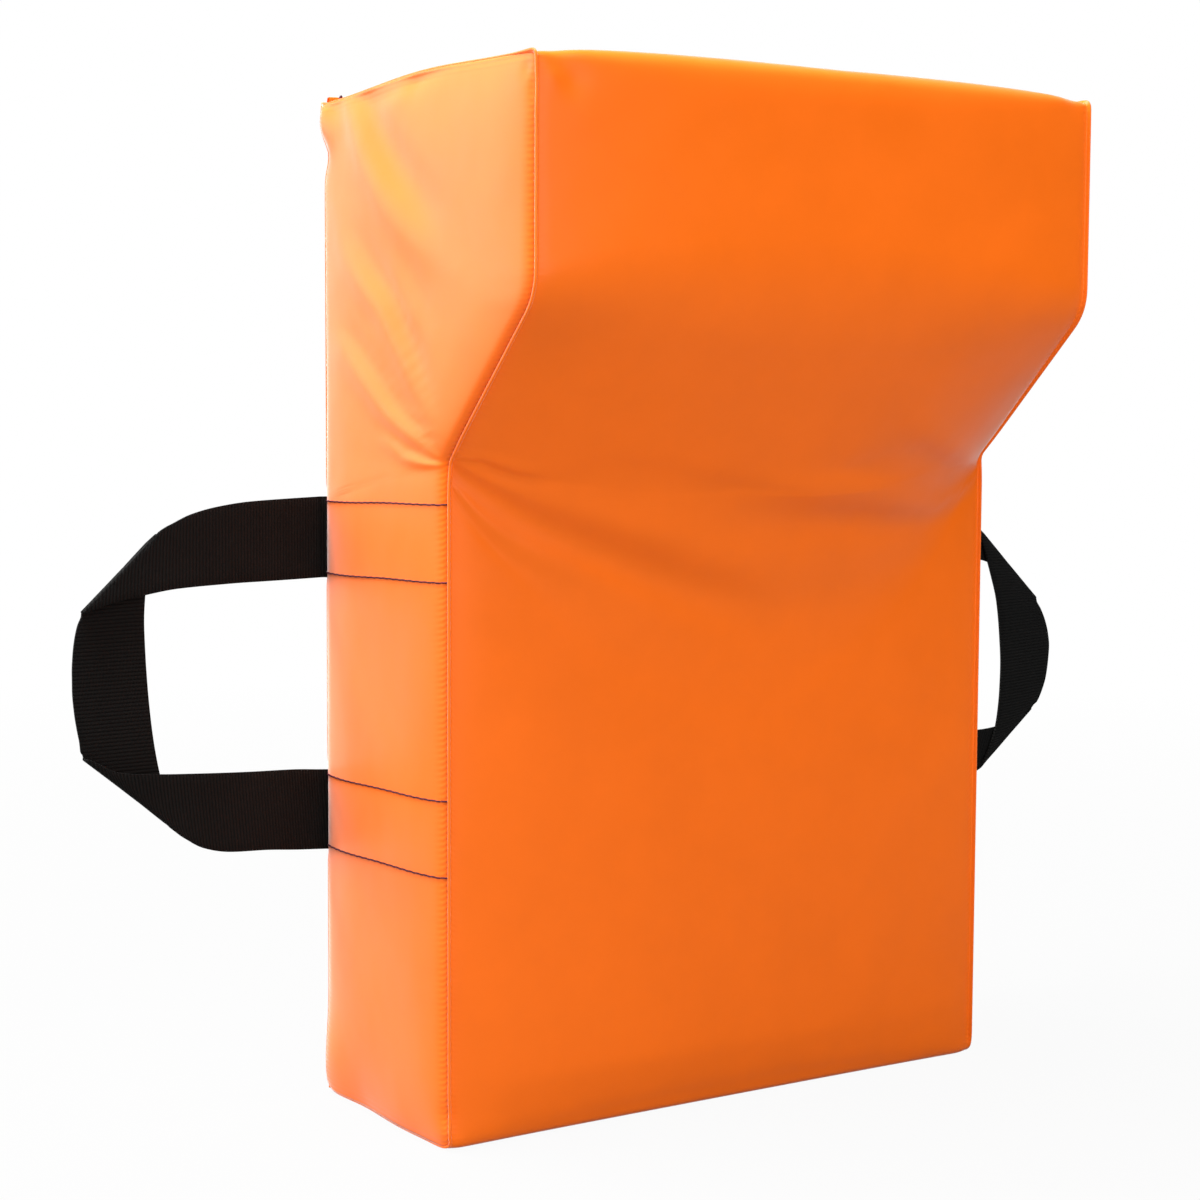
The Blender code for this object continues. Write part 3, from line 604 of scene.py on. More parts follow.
def edge_distance(flat):
    """How far each place lies from the nearest of the panel's four edges."""
    front = np.linalg.norm(flat - flat[:1], axis=-1)
    back = np.linalg.norm(flat - flat[-1:], axis=-1)
    top = np.linalg.norm(flat - flat[:, :1], axis=-1)
    base = np.linalg.norm(flat - flat[:, -1:], axis=-1)
    return np.minimum(np.minimum(front, back), np.minimum(top, base))


def side_points(side, folds):
    flat = gusset()
    y, z = flat[..., 0], flat[..., 1]
    share = np.broadcast_to(SIDE_SHARES[:, None], y.shape)
    gap = edge_distance(flat)
    tuck = np.interp(z, TUCK_HEIGHTS, TUCK_DEPTHS) * np.clip(1 - 6 * share, 0.2, 1)
    tuck *= bell(gap, TUCK_RUN)
    lift = fold_lift(flat.reshape(-1, 2), folds).reshape(y.shape) * np.clip(gap / SIDE_FOLD_START, 0, 1)
    half = HALF_WIDTH + side_swell(share, z) + lift - tuck - pinch(z) * (1 - share) ** 2
    along = run_along(flat[0])
    # Painted shade: a narrow band along the front seam, below the head's top edges, is marked for the dark
    # groove colour
    groove_shade = bell(gap, GROOVE_SHADE_RUN) * (share < 0.5) * below_top(z)
    sewn = np.stack(np.broadcast_arrays(gap, along[None, :], groove_shade), -1)
    return np.stack((side * half, y, z), -1), sewn


points, sewn = side_points(-1, LEFT_FOLDS)
left_side = panel_from_grid("cover_left_side", rumpled(points), sewn, (-1, 0, 0))
points, sewn = side_points(1, RIGHT_FOLDS)
right_side = panel_from_grid("cover_right_side", rumpled(points), sewn, (1, 0, 0))

# %% [markdown]
# The back panel is nearly flat, because the player's arms press it against the foam. It closes the
# cover, so it carries the bead on three of its own edges, and its seam opens where the straps leave.
# %% Back panel
STRAP_WIDTH, STRAP_THICKNESS = 0.050, 0.0016
UPPER_STRAP_TOP, LOWER_STRAP_TOP = 0.374, 0.204
EXIT_SETBACK = 0.0016
EXIT_HALF_HEIGHT, EXIT_SOFTNESS = 0.0273, 0.0026


def strap_window(height):
    """One where a strap crosses the back seam, zero elsewhere, with soft ends."""
    window = np.zeros_like(height)
    for top in (UPPER_STRAP_TOP, LOWER_STRAP_TOP):
        middle = top - STRAP_WIDTH / 2
        room = EXIT_HALF_HEIGHT - np.abs(height - middle)
        window = np.maximum(window, np.clip(room / EXIT_SOFTNESS, 0, 1))
    return window


BACK_BEAD, BEAD_DROP = 0.0008, 0.0018
BEAD_ANGLES = np.radians((-80, -30, 20, 60, 90))
BACK_DIP_PLACE, BACK_DIP_RUN = 0.003, 0.004
EXIT_RUN = 0.004
TOP_ROW = BACK_HEIGHT - COVER_WALL


def rolled_edge(inner):
    """Distances from an edge with the bead's stations first, and the angle of each one round the bead."""
    distances = np.concatenate((np.zeros(len(BEAD_ANGLES)), inner))
    return distances, np.concatenate((BEAD_ANGLES, np.full(len(inner), np.pi / 2)))


def back_points():
    near_seam = np.array((2.4, 4, 6.5, 10, 15, 22, 31)) / 1000
    near_base = np.array((2.4, 4, 6.5, 10, 16, 25)) / 1000
    seam, angle = rolled_edge(np.concatenate((near_seam, np.linspace(0.042, HALF_WIDTH, 14))))
    rows, row_angle = rolled_edge(np.concatenate((near_base, np.linspace(0.036, TOP_ROW, 78))))
    seam, angle = seam[:, None], angle[:, None]
    across, up = seam / (2 * HALF_WIDTH), rows / TOP_ROW
    swell = BACK_CROWN * (1 - np.abs(2 * across - 1) ** 5) * (1 - np.abs(2 * up - 1) ** 7)
    open_seam = strap_window(rows)
    size = BACK_BEAD * (1 - 0.6 * open_seam)
    setback = EXIT_SETBACK * open_seam * np.exp(-seam / EXIT_RUN)
    x = HALF_WIDTH - seam - size * (1 - np.cos(angle)) - setback
    z = rows + COVER_WALL + BACK_BEAD * (1 - np.cos(row_angle)) + np.zeros_like(x)
    drop = BACK_BEAD * (1 - np.sin(row_angle)) + size * (1 - np.sin(angle))
    dip = SEAM_DIP * bell(seam - BACK_DIP_PLACE, BACK_DIP_RUN) * (seam > 0)
    y = BACK_Y + swell - np.minimum(drop, BEAD_DROP) - dip * (1 - open_seam) * 0.6
    left, right_half = (np.stack((side * x, y, z), -1) for side in (-1, 1))
    gap = np.minimum(seam, rows)
    return np.concatenate((left, right_half[-2::-1])), np.concatenate((gap, gap[-2::-1])), rows


points, gap, rows = back_points()
sewn = np.stack(np.broadcast_arrays(gap, rows[None, :]), -1)
back = panel_from_grid("cover_back", rumpled(points), sewn, (0, 1, 0))


# %% [markdown]
# Vinyl over foam is never quite as regular as a formula. A cloth simulation lets each panel give
# a little under the pressure of the foam while its sewn edges hold, and the result is capped, so that
# no seam opens and no size changes. The folds above stay, because the cloth starts from them.
# %% Let the cloth settle
SETTLE_CAP, SETTLE_GIVE, SETTLE_REACH = 0.0012, 0.96, 0.012
SETTLE_FRAMES = 20


def settle(piece):
    mesh = piece.data
    rest = read_vectors(mesh.vertices, "co")
    from_seam = read_vectors(mesh.attributes["sewn"].data, "vector")[:, 0]
    hold = 1 - SETTLE_GIVE * np.clip(from_seam / SETTLE_REACH, 0, 1)
    group = piece.vertex_groups.new(name="held")
    for step in np.unique(np.round(hold, 2)):
        group.add(np.nonzero(np.round(hold, 2) == step)[0].tolist(), float(step), "REPLACE")
    cloth = piece.modifiers.new("cloth", "CLOTH")
    cloth.settings.quality = 4
    cloth.settings.mass = 0.4
    cloth.settings.tension_stiffness = 30
    cloth.settings.compression_stiffness = 30
    cloth.settings.bending_stiffness = 4
    cloth.settings.use_pressure = True
    cloth.settings.uniform_pressure_force = 4
    cloth.settings.vertex_group_mass = "held"
    cloth.settings.pin_stiffness = 6
    cloth.settings.effector_weights.gravity = 0
    cloth.collision_settings.use_collision = False
    cloth.point_cache.frame_start, cloth.point_cache.frame_end = 1, SETTLE_FRAMES
    for number in range(1, SETTLE_FRAMES + 1):
        bpy.context.scene.frame_set(number)
    settled = piece.evaluated_get(bpy.context.evaluated_depsgraph_get())
    drift = read_vectors(settled.data.vertices, "co") - rest
    piece.modifiers.remove(cloth)
    piece.vertex_groups.clear()
    bpy.context.scene.frame_set(1)
    far = np.linalg.norm(drift, axis=1, keepdims=True)
    drift *= SETTLE_CAP / (SETTLE_CAP + far) * (1 - hold[:, None]) / SETTLE_GIVE
    placed = rest + drift
    placed[:, 2] = np.maximum(placed[:, 2], 0)
    write_vectors(mesh.vertices, "co", placed)
    mesh.update()
    print(piece.name, "settled by at most", round(float(np.linalg.norm(drift, axis=1).max()) * 1000, 2), "mm")


for piece in (wrap, left_side, right_side, back):
    settle(piece)


# %% [markdown]
# One subdivision rounds the squares off, and a Solidify modifier gives the cloth its thickness on the
# inner side, so the outer face stays where the pattern puts it.
# %% Finish the panels
CLOTH_WALL = 0.0008


def finish_cloth(piece, *nodes):
    smooth = piece.modifiers.new("rounding", "SUBSURF")
    smooth.levels = smooth.render_levels = 1
    wall = piece.modifiers.new("wall", "SOLIDIFY")
    wall.thickness = CLOTH_WALL
    wall.offset = -1
    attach(piece, "pad")
    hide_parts(*nodes)
    print(piece.name, "stands for", nodes)


finish_cloth(wrap, "wrap_panel")
finish_cloth(left_side, "left_side_panel")
finish_cloth(right_side, "right_side_panel")
finish_cloth(back, "back_panel")

# %% [markdown]
# Each strap is one length of webbing. It is sewn inside the side panel, leaves the cover at the back
# corner, folds over to turn down into the upright grip, folds again and goes back in. The two edges
# of the strap are followed rung by rung, in widths of the webbing from the loop's outermost point.
# %% Rungs of the loops
HINGE_STANDOFF = STRAP_THICKNESS / 2 + 0.0006
LOOP_ROOT = HINGE_STANDOFF * math.sqrt(2)
FOLD_RADIUS, CREASE_SLIP, CREASE_PINCH = 0.0016, 0.2, 0.1
RUNG_SPACING = 0.0035
BOW_RADIUS, BOW_LEAD = 0.477, math.radians(108)
LEFT_REACH, RIGHT_REACH = 0.1735, 0.186
# A rung: how far back along the loop and how far down or up, first for one edge, then for the other
LEFT_RUNGS = {
    "upper_leg": (
        (2.90, 0.01, 2.90, 1.00), (2.31, 0.03, 2.25, 1.00), (1.85, 0.08, 1.75, 1.01),
        (1.49, 0.16, 1.29, 1.03), (1.25, 0.26, 0.85, 1.09), (1.14, 0.31, 0.47, 1.16),
    ),
    "upper_crease": (1.05, 0.38, 0.11, 1.24),
    "upper_grip": (
        (0.98, 0.72, 0.07, 1.42), (0.91, 1.08, 0.03, 1.60), (0.89, 1.41, 0.01, 1.77),
        (0.90, 1.75, 0.00, 1.95), (0.92, 2.10, 0.00, 2.16),
    ),
    "lower_grip": (
        (0.95, 1.95, 0.02, 1.98), (0.99, 1.62, 0.05, 1.78), (1.07, 1.19, 0.08, 1.62),
        (1.17, 0.86, 0.09, 1.52),
    ),
    "lower_crease": (1.27, 0.49, 0.11, 1.42),
    "lower_leg": (
        (1.43, 0.35, 0.53, 1.25), (1.63, 0.24, 1.03, 1.19), (1.95, 0.16, 1.55, 1.15),
        (2.53, 0.11, 2.25, 1.10), (3.00, 0.05, 3.00, 1.05),
    ),
}
RIGHT_RUNGS = {
    "upper_leg": (
        (3.10, 0.02, 3.10, 1.01), (2.48, 0.06, 2.40, 1.04), (1.88, 0.28, 1.80, 1.06),
        (1.64, 0.44, 1.28, 1.12), (1.54, 0.52, 0.76, 1.40),
    ),
    "upper_crease": (1.46, 0.60, 0.28, 1.68),
    "upper_grip": (
        (1.34, 0.88, 0.20, 1.86), (1.18, 1.32, 0.10, 2.04), (1.06, 1.72, 0.03, 2.24),
        (0.99, 2.24, 0.00, 2.44),
    ),
    "lower_grip": (
        (0.96, 1.72, 0.02, 1.72), (0.97, 1.36, 0.06, 1.50), (1.02, 0.92, 0.14, 1.30),
        (1.12, 0.60, 0.24, 1.14),
    ),
    "lower_crease": (1.36, 0.20, 0.34, 1.02),
    "lower_leg": (
        (1.48, 0.12, 0.72, 0.86), (1.72, 0.04, 1.32, 0.79), (2.32, -0.05, 2.12, 0.86),
        (3.00, -0.03, 3.00, 0.95),
    ),
}


def measured(shares, reach, edge, direction, layer):
    """Rungs (first along, first height, second along, second height, layer) in metres."""
    shares = np.atleast_2d(shares) * STRAP_WIDTH
    along, height = reach - shares[:, ::2], edge + direction * shares[:, 1::2]
    layers = np.full(len(shares), layer)
    return np.stack((along[:, 0], height[:, 0], along[:, 1], height[:, 1], layers), -1)


def folded(crease, before, after, turn):
    """Rungs that carry the strap round its crease by half a turn, slipping along it as they go."""
    first, second = crease[:2], crease[2:4]
    run = unit(second - first)
    away = np.array((-run[1], run[0])) * turn
    angle = np.linspace(0, np.pi, 9)[:, None]
    moved = away * FOLD_RADIUS * (np.sin(angle) - 1)
    moved += run * turn * FOLD_RADIUS * CREASE_SLIP * (angle - np.pi / 2)
    layer = before + (after - before) * (1 - np.cos(angle)) / 2
    inset = away * STRAP_THICKNESS / 2 * np.sin(angle)
    return np.concatenate((first + moved * CREASE_PINCH - inset, second + moved - inset, layer), axis=1)


def loop_rungs(reach, shares, grip_layer):
    grip = grip_layer * 2 * FOLD_RADIUS
    upper_low, lower_low = UPPER_STRAP_TOP - STRAP_WIDTH, LOWER_STRAP_TOP - STRAP_WIDTH
    down = (reach, UPPER_STRAP_TOP, -1)
    up = (reach, lower_low, 1)
    return np.concatenate((
        [(LOOP_ROOT, UPPER_STRAP_TOP, LOOP_ROOT, upper_low, 0)],
        measured(shares["upper_leg"], *down, 0),
        folded(measured(shares["upper_crease"], *down, 0)[0], 0, grip, 1),
        measured(shares["upper_grip"], *down, grip),
        measured(shares["lower_grip"], *up, grip),
        folded(measured(shares["lower_crease"], *up, 0)[0], grip, 0, -1),
        measured(shares["lower_leg"], *up, 0),
        [(LOOP_ROOT, lower_low, LOOP_ROOT, LOWER_STRAP_TOP, 0)],
    ))


left_rungs = loop_rungs(LEFT_REACH, LEFT_RUNGS, -1)
right_rungs = loop_rungs(RIGHT_REACH, RIGHT_RUNGS, 1)
print("rungs:", len(left_rungs), "left,", len(right_rungs), "right")


# %% [markdown]
# A strap drawn straight from rung to rung would look like bent card. Between the rungs it follows a
# cubic whose slopes never overshoot, which keeps the folds crisp and the legs smooth. The same rungs
# are then laid on the bow that the loop makes when it hangs from its two ends.
# %% Smooth the rungs and lay them in space
def smooth_rungs(rungs, spacing):
    """More rungs on a monotone cubic through the given ones."""
    step = np.diff(rungs, axis=0)
    hops = np.linalg.norm(step[:, :2], axis=1) + np.linalg.norm(step[:, 2:4], axis=1)
    run = np.maximum(hops / 2 + np.abs(step[:, 4]), 1e-5)
    slope = step / run[:, None]
    low, high = slope[:-1], slope[1:]
    wa, wb = (2 * run[1:] + run[:-1])[:, None], (run[1:] + 2 * run[:-1])[:, None]
    with np.errstate(divide="ignore", invalid="ignore"):
        inner = np.where(low * high > 0, (wa + wb) / (wa / low + wb / high), 0)
    tangent = np.concatenate((slope[:1], inner, slope[-1:]))
    fine = []
    for k in range(len(run)):
        count = max(1, int(round(run[k] / spacing)))
        for t in np.arange(count) / count:
            a = (1 + 2 * t) * (1 - t) ** 2 * rungs[k] + t * (1 - t) ** 2 * run[k] * tangent[k]
            b = t**2 * (3 - 2 * t) * rungs[k + 1] - t**2 * (1 - t) * run[k] * tangent[k + 1]
            fine.append(a + b)
    return np.array(fine + [rungs[-1]])


def on_loop(side, along, height, lift):
    """A point of a loop: distance along its bow, height, and lift towards the shield's front."""
    heading = BOW_LEAD - along / BOW_RADIUS
    out = BOW_RADIUS * (np.cos(heading) - math.cos(BOW_LEAD)) + lift * np.cos(heading)
    behind = BOW_RADIUS * (math.sin(BOW_LEAD) - np.sin(heading)) - lift * np.sin(heading)
    x = side * (HALF_WIDTH + HINGE_STANDOFF + out)
    return np.stack((x, BACK_Y + HINGE_STANDOFF + behind, height), -1)


def side_surface(side, y, z):
    """The side panel's outer face at a place, from its share between the two seams."""
    rise = np.clip((z - WAIST_HEIGHT) / (HEAD_EDGE_HEIGHT - WAIST_HEIGHT), 0, 1)
    front = FRONT_Y - HEAD_REACH * rise
    share = np.clip((y - front) / (BACK_Y - front), 0, 1)
    return side * (HALF_WIDTH + side_swell(share, z) - pinch(z) * (1 - share) ** 2)


TAIL_START, TAIL_RISE, TAIL_GAP = 0.004, 0.004, 0.0005
TAIL_DEPTH = COVER_WALL + TAIL_GAP + STRAP_THICKNESS / 2


def tail_edges(side, strap_top):
    """The sewn-in end of a strap, from near the front seam to the back corner: top and bottom edges."""
    y = np.linspace(FRONT_Y + TAIL_START, BACK_Y - TAIL_DEPTH, 40)
    low = strap_top - STRAP_WIDTH + TAIL_RISE * (BACK_Y - y) / (BACK_Y - FRONT_Y)
    edges = []
    for z in (low + STRAP_WIDTH, low):
        x = side_surface(side, y, z) - side * TAIL_DEPTH
        x[-1] = side * (HALF_WIDTH - TAIL_DEPTH)
        edges.append(np.stack((x, y, z), -1))
    return edges


def strap_edges(side, rungs):
    fine = smooth_rungs(rungs, RUNG_SPACING)
    first = on_loop(side, fine[:, 0], fine[:, 1], fine[:, 4])
    second = on_loop(side, fine[:, 2], fine[:, 3], fine[:, 4])
    upper_top, upper_bottom = tail_edges(side, UPPER_STRAP_TOP)
    lower_top, lower_bottom = tail_edges(side, LOWER_STRAP_TOP)
    return (
        np.concatenate((upper_top, first, lower_bottom[::-1])),
        np.concatenate((upper_bottom, second, lower_top[::-1])),
    )


for side, rungs in ((-1, left_rungs), (1, right_rungs)):
    print("strap edges:", [round(float(run_along(edge)[-1]), 4) for edge in strap_edges(side, rungs)])


def strap(word, side, rungs):
    first, second = strap_edges(side, rungs)
    across = np.linspace(0, 1, 9)
    points = first[None] + (second - first)[None] * across[:, None, None]
    first_run, second_run = run_along(first), run_along(second)
    along = first_run + (second_run - first_run) * across[:, None]
    sewn = np.stack((np.zeros_like(along), along), -1)
    piece = panel_from_grid(f"{word}_strap", points, sewn, (0, -1, 0))
    wall = piece.modifiers.new("webbing", "SOLIDIFY")
    wall.thickness = STRAP_THICKNESS
    wall.offset = 0
    wall.use_even_offset = False
    soft = piece.modifiers.new("selvedge", "BEVEL")
    soft.width = 0.0004
    soft.segments = 2
    soft.limit_method = "ANGLE"
    soft.angle_limit = math.radians(60)
    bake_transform(piece)
    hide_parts(f"{word}_handle", f"{word}_upper_webbing_tail", f"{word}_lower_webbing_tail")
    return piece


left_strap = strap("left", -1, left_rungs)
right_strap = strap("right", 1, right_rungs)

# %% [markdown]
# Four rows of lockstitch on each side hold the hidden ends of the straps. Seen closely, each stitch is
# a short length of thread that rises out of one needle hole and dives into the next. A curve with a
# round bevel draws one stitch after another along the row, and becomes a mesh at the end.
# %% Stitched rows
THREAD_RADIUS = 0.0005
STITCH_INSET = 0.0028
STITCH_PITCH = 0.0039
ROW_FRONT_GAP, ROW_BACK_GAP = 0.0014, 0.0016
# Along one stitch and out of the cloth: up from a needle hole, over, and down into the next
STITCH_SHARES = np.array((0.06, 0.18, 0.5, 0.82, 0.94))
STITCH_LIFTS = np.array((-0.0003, 0.0002, 0.0004, 0.0002, -0.0003))


def thread_piece(name, runs, radius):
    """One mesh of thread from several short runs of points."""
    curve = bpy.data.curves.new(name, "CURVE")
    curve.dimensions = "3D"
    curve.bevel_depth = radius
    curve.bevel_resolution = 1
    curve.use_fill_caps = True
    for run in runs:
        spline = curve.splines.new("POLY")
        spline.points.add(len(run) - 1)
        with_weight = np.concatenate((run, np.ones((len(run), 1))), axis=1)
        write_vectors(spline.points, "co", with_weight)
    drawn = new_object(name + "_curve", curve)
    bpy.context.view_layer.update()
    mesh = bpy.data.meshes.new_from_object(drawn.evaluated_get(bpy.context.evaluated_depsgraph_get()))
    bpy.data.objects.remove(drawn)
    mesh.name = name
    mesh.shade_smooth()
    piece = new_object(name, mesh)
    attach(piece, "pad")
    return piece


def on_cloth(panel, side, y, z):
    """How far out the panel's face lies at each place, found by rays from outside."""
    seen = panel.evaluated_get(bpy.context.evaluated_depsgraph_get())
    hits = [seen.ray_cast((side * 0.25, a, b), (-side, 0, 0)) for a, b in zip(y, z)]
    return np.array([spot.x if found else side * HALF_WIDTH for found, spot, *_ in hits])


def stitch_row(name, side, strap_top, inset):
    start, end = FRONT_Y + ROW_FRONT_GAP, BACK_Y - ROW_BACK_GAP
    panel = left_side if side < 0 else right_side
    count = round((end - start) / STITCH_PITCH)
    pitch = (end - start) / count
    runs = []
    for k in range(count):
        y = start + (k + STITCH_SHARES) * pitch
        z = strap_top - STRAP_WIDTH + inset + TAIL_RISE * (BACK_Y - y) / (BACK_Y - FRONT_Y)
        # The row wavers slowly, and each stitch lies a hair above or below the last
        z = z + 0.00025 * np.sin(y * 61 + strap_top * 40) + 0.0001 * (-1) ** k
        x = on_cloth(panel, side, y, z) + side * STITCH_LIFTS
        runs.append(np.stack((x, y, z), -1))
    return thread_piece(name, runs, THREAD_RADIUS)


threads = []
for word, side in (("left", -1), ("right", 1)):
    for level_name, strap_top in (("upper", UPPER_STRAP_TOP), ("lower", LOWER_STRAP_TOP)):
        for edge_name, inset in (("top", STRAP_WIDTH - STITCH_INSET), ("bottom", STITCH_INSET)):
            name = f"{word}_{level_name}_row_{edge_name}"
            row = stitch_row(name, side, strap_top, inset)
            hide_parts(f"{word}_{level_name}_stitching_{edge_name}")
            threads.append(row)
print("stitched rows:", len(threads))

# %% [markdown]
# The cover is stuffed through its top back seam and then whipped shut by hand. The two raw edges stand
# up as a low lip, pressed together by coarse loops of thread. Two thin leaves with a little wave in
# them look more like cut vinyl than one bar would.
# %% Closing lip
LIP_HEIGHT, LIP_MARGIN, FAR_FROM_SEAM = 0.0045, 0.004, 0.02
# Across the leaf and up it: one face, over the edge, and down the other
LIP_FACE_SHARES = ((0, -0.0016), (0, 0.3), (0, 0.8), (0.25, 0.97), (0.5, 1))
LIP_SHARES = np.array(LIP_FACE_SHARES + tuple((1 - across, up) for across, up in LIP_FACE_SHARES[-2::-1]))
WHIP_PITCH, WHIP_RADIUS = 0.012, 0.0006


def lip_wave(x, leaf):
    return 0.0003 * np.sin(x * 190 + leaf) + 0.0002 * np.sin(x * 431 + 2 * leaf)


def lip_leaf(name, leaf, near, far):
    """A thin wall along the seam, from its cross-section."""
    x = np.linspace(LIP_MARGIN - HALF_WIDTH, HALF_WIDTH - LIP_MARGIN, 161)
    across, up = LIP_SHARES[:, :1], LIP_SHARES[:, 1:]
    height = LIP_HEIGHT * (0.86 + 0.10 * np.sin(x * 83 + leaf * 2) + 0.06 * np.sin(x * 257 + leaf))
    y = near + (far - near) * across + lip_wave(x, leaf) * (up > 0.1)
    z = BACK_HEIGHT + up * height
    points = np.stack(np.broadcast_arrays(x, y, z), -1)
    # The lip counts as far from the seam, so that no puckers show on it
    sewn = np.stack(np.broadcast_arrays(np.full_like(z, FAR_FROM_SEAM), x - x[0]), -1)
    return panel_from_grid(name, rumpled(points), sewn, (0, 0, 1))


lip_near = lip_leaf("closing_lip_front_leaf", 0.0, BACK_Y - 0.0023, BACK_Y - 0.0011)
lip_far = lip_leaf("closing_lip_back_leaf", 1.7, BACK_Y - 0.0010, BACK_Y + 0.0002)
for leaf in (lip_near, lip_far):
    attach(leaf, "pad")
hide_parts("closing_lip")


def whip_stitches():
    reach = HALF_WIDTH - LIP_MARGIN - 0.002
    count = round(2 * reach / WHIP_PITCH)
    top = BACK_HEIGHT + LIP_HEIGHT
    runs = []
    for k in range(count):
        x = -reach + (k + 0.5) * 2 * reach / count
        lean = 0.0022 + 0.0006 * math.sin(k * 2.3)
        runs.append(rumpled(np.array((
            (x - lean, BACK_Y - 0.0026, BACK_HEIGHT + 0.0009),
            (x - lean, BACK_Y - 0.0031, BACK_HEIGHT + 0.0024),
            (x - lean / 2, BACK_Y - 0.0024, top + 0.0001),
            (x, BACK_Y - 0.0010, top + 0.0006),
            (x + lean / 2, BACK_Y + 0.0004, top + 0.0001),
            (x + lean, BACK_Y + 0.0009, BACK_HEIGHT + 0.0024),
            (x + lean, BACK_Y + 0.0004, BACK_HEIGHT + 0.0009),
        ))))
    return thread_piece("whip_stitches", runs, WHIP_RADIUS)


whip = whip_stitches()
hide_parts("closing_stitches")
threads.append(whip)
print("lip sewn")

# %% [markdown]
# Every finish on the shield is a little uneven: vinyl, webbing, thread and foam all vary softly in
# tone. That is one effect for four materials, so it is a node group. It takes a place, a size and a
# range, and puts out a value to multiply a colour or a roughness by.
# %% Uneven tone, a shared node group
mottle = bpy.data.node_groups.new("uneven_tone", "ShaderNodeTree")
mottle.interface.new_socket("Place", in_out="INPUT", socket_type="NodeSocketVector")
for name, value in (("Patches per metre", 20.0), ("Least", 0.95), ("Most", 1.05)):
    mottle.interface.new_socket(name, in_out="INPUT", socket_type="NodeSocketFloat").default_value = value
mottle.interface.new_socket("Tone", in_out="OUTPUT", socket_type="NodeSocketFloat")
entry = mottle.nodes.new("NodeGroupInput")
leave = mottle.nodes.new("NodeGroupOutput")
cloud = add(mottle, "TexNoise", {
    "Vector": entry.outputs["Place"], "Scale": entry.outputs["Patches per metre"],
    "Detail": 4.0, "Roughness": 0.55,
})
tone = add(mottle, "MapRange", {
    "Value": cloud.outputs["Fac"], "From Min": 0.3, "From Max": 0.7,
    "To Min": entry.outputs["Least"], "To Max": entry.outputs["Most"],
})
mottle.links.new(tone.outputs["Result"], leave.inputs["Tone"])


def uneven(tree, place, patches, least, most):
    """The shared group in a material, with its own values."""
    inputs = {"Place": place, "Patches per metre": patches, "Least": least, "Most": most}
    return add(tree, "Group", inputs, node_tree=mottle).outputs["Tone"]


def toned(tree, colour, tone):
    """A colour multiplied by a tone."""
    grey = add(tree, "CombineColor", {"Red": tone, "Green": tone, "Blue": tone}).outputs[0]
    inputs = {"Fac": 1.0, "Color1": colour, "Color2": grey}
    return add(tree, "MixRGB", inputs, blend_type="MULTIPLY").outputs[0]


print("groups:", [g.name for g in bpy.data.node_groups])

# %% [markdown]
# Threads, ribs and needle holes come at an even pitch, so each is a sine wave along a run in metres.
# The runs come from the UV map and from the facts kept on the vertices. Reliefs are laid on each other
# by handing the normals of one Bump node to the next.
# %% Runs, waves and reliefs
def cloth_runs(tree):
    """The flat metres across and along the cloth, and the facts kept on its vertices."""
    flat = add(tree, "UVMap", {}, uv_map="cloth").outputs["UV"]
    facts = add(tree, "Attribute", {}, attribute_name="sewn").outputs["Vector"]
    return [add(tree, "SeparateXYZ", {0: vector}).outputs for vector in (flat, facts)]


def wave_of(tree, run, pitch):
    """A sine along a run in metres, one wave to a pitch."""
    return maths(tree, "SINE", maths(tree, "MULTIPLY", run, 2 * math.pi / pitch))


def bumped(tree, height, strength, distance, under=None):
    """The normals of a relief, laid over those of another one where it is given."""
    inputs = {"Strength": strength, "Distance": distance, "Height": height}
    if under is not None:
        inputs["Normal"] = under
    return add(tree, "Bump", inputs).outputs[0]


print("runs, waves and reliefs ready")

# %% [markdown]
# The vinyl is a satin film on woven cloth. Four reliefs lie on each other: the film's fine grain, the
# faint threads of the cloth showing through, the puckers that the needle leaves along each seam, which
# fade a few millimetres away, and a slow slackness. The sewn groove gets painted shade, a dark red
# mixed into the colour, lighter at each stitch. Roughness varies too, because handling polishes the film.
# %% Orange vinyl
vinyl, tree, shader, place = new_material("orange_vinyl")
flat, facts = cloth_runs(tree)
SCRIM_PITCH, PUCKER_PITCH, PUCKER_REACH = 0.0011, 0.0034, 0.0030
warp, weft = (wave_of(tree, flat[axis], SCRIM_PITCH) for axis in "XY")
scrim = maths(tree, "MULTIPLY", maths(tree, "MULTIPLY", warp, weft), 0.12)
grain = add(tree, "TexNoise", {"Vector": place, "Scale": 1500.0, "Detail": 3.0, "Roughness": 0.6})
fine = maths(tree, "ADD", scrim, maths(tree, "MULTIPLY", grain.outputs["Fac"], 0.5))
stitched = wave_of(tree, facts["Y"], PUCKER_PITCH)
fading = maths(tree, "EXPONENT", maths(tree, "MULTIPLY", facts["X"], -1 / PUCKER_REACH))
clear = add(tree, "MapRange", {"Value": facts["X"], "From Min": 0.0006, "From Max": 0.0022})
pucker = maths(tree, "MULTIPLY", stitched, maths(tree, "MULTIPLY", fading, clear.outputs["Result"]))
slack = add(tree, "TexNoise", {"Vector": place, "Scale": 16.0, "Detail": 2.0, "Roughness": 0.4})
normals = bumped(tree, fine, 0.35, 0.00012)
normals = bumped(tree, pucker, 0.5, 0.0003, normals)
normals = bumped(tree, slack.outputs["Fac"], 0.35, 0.004, normals)
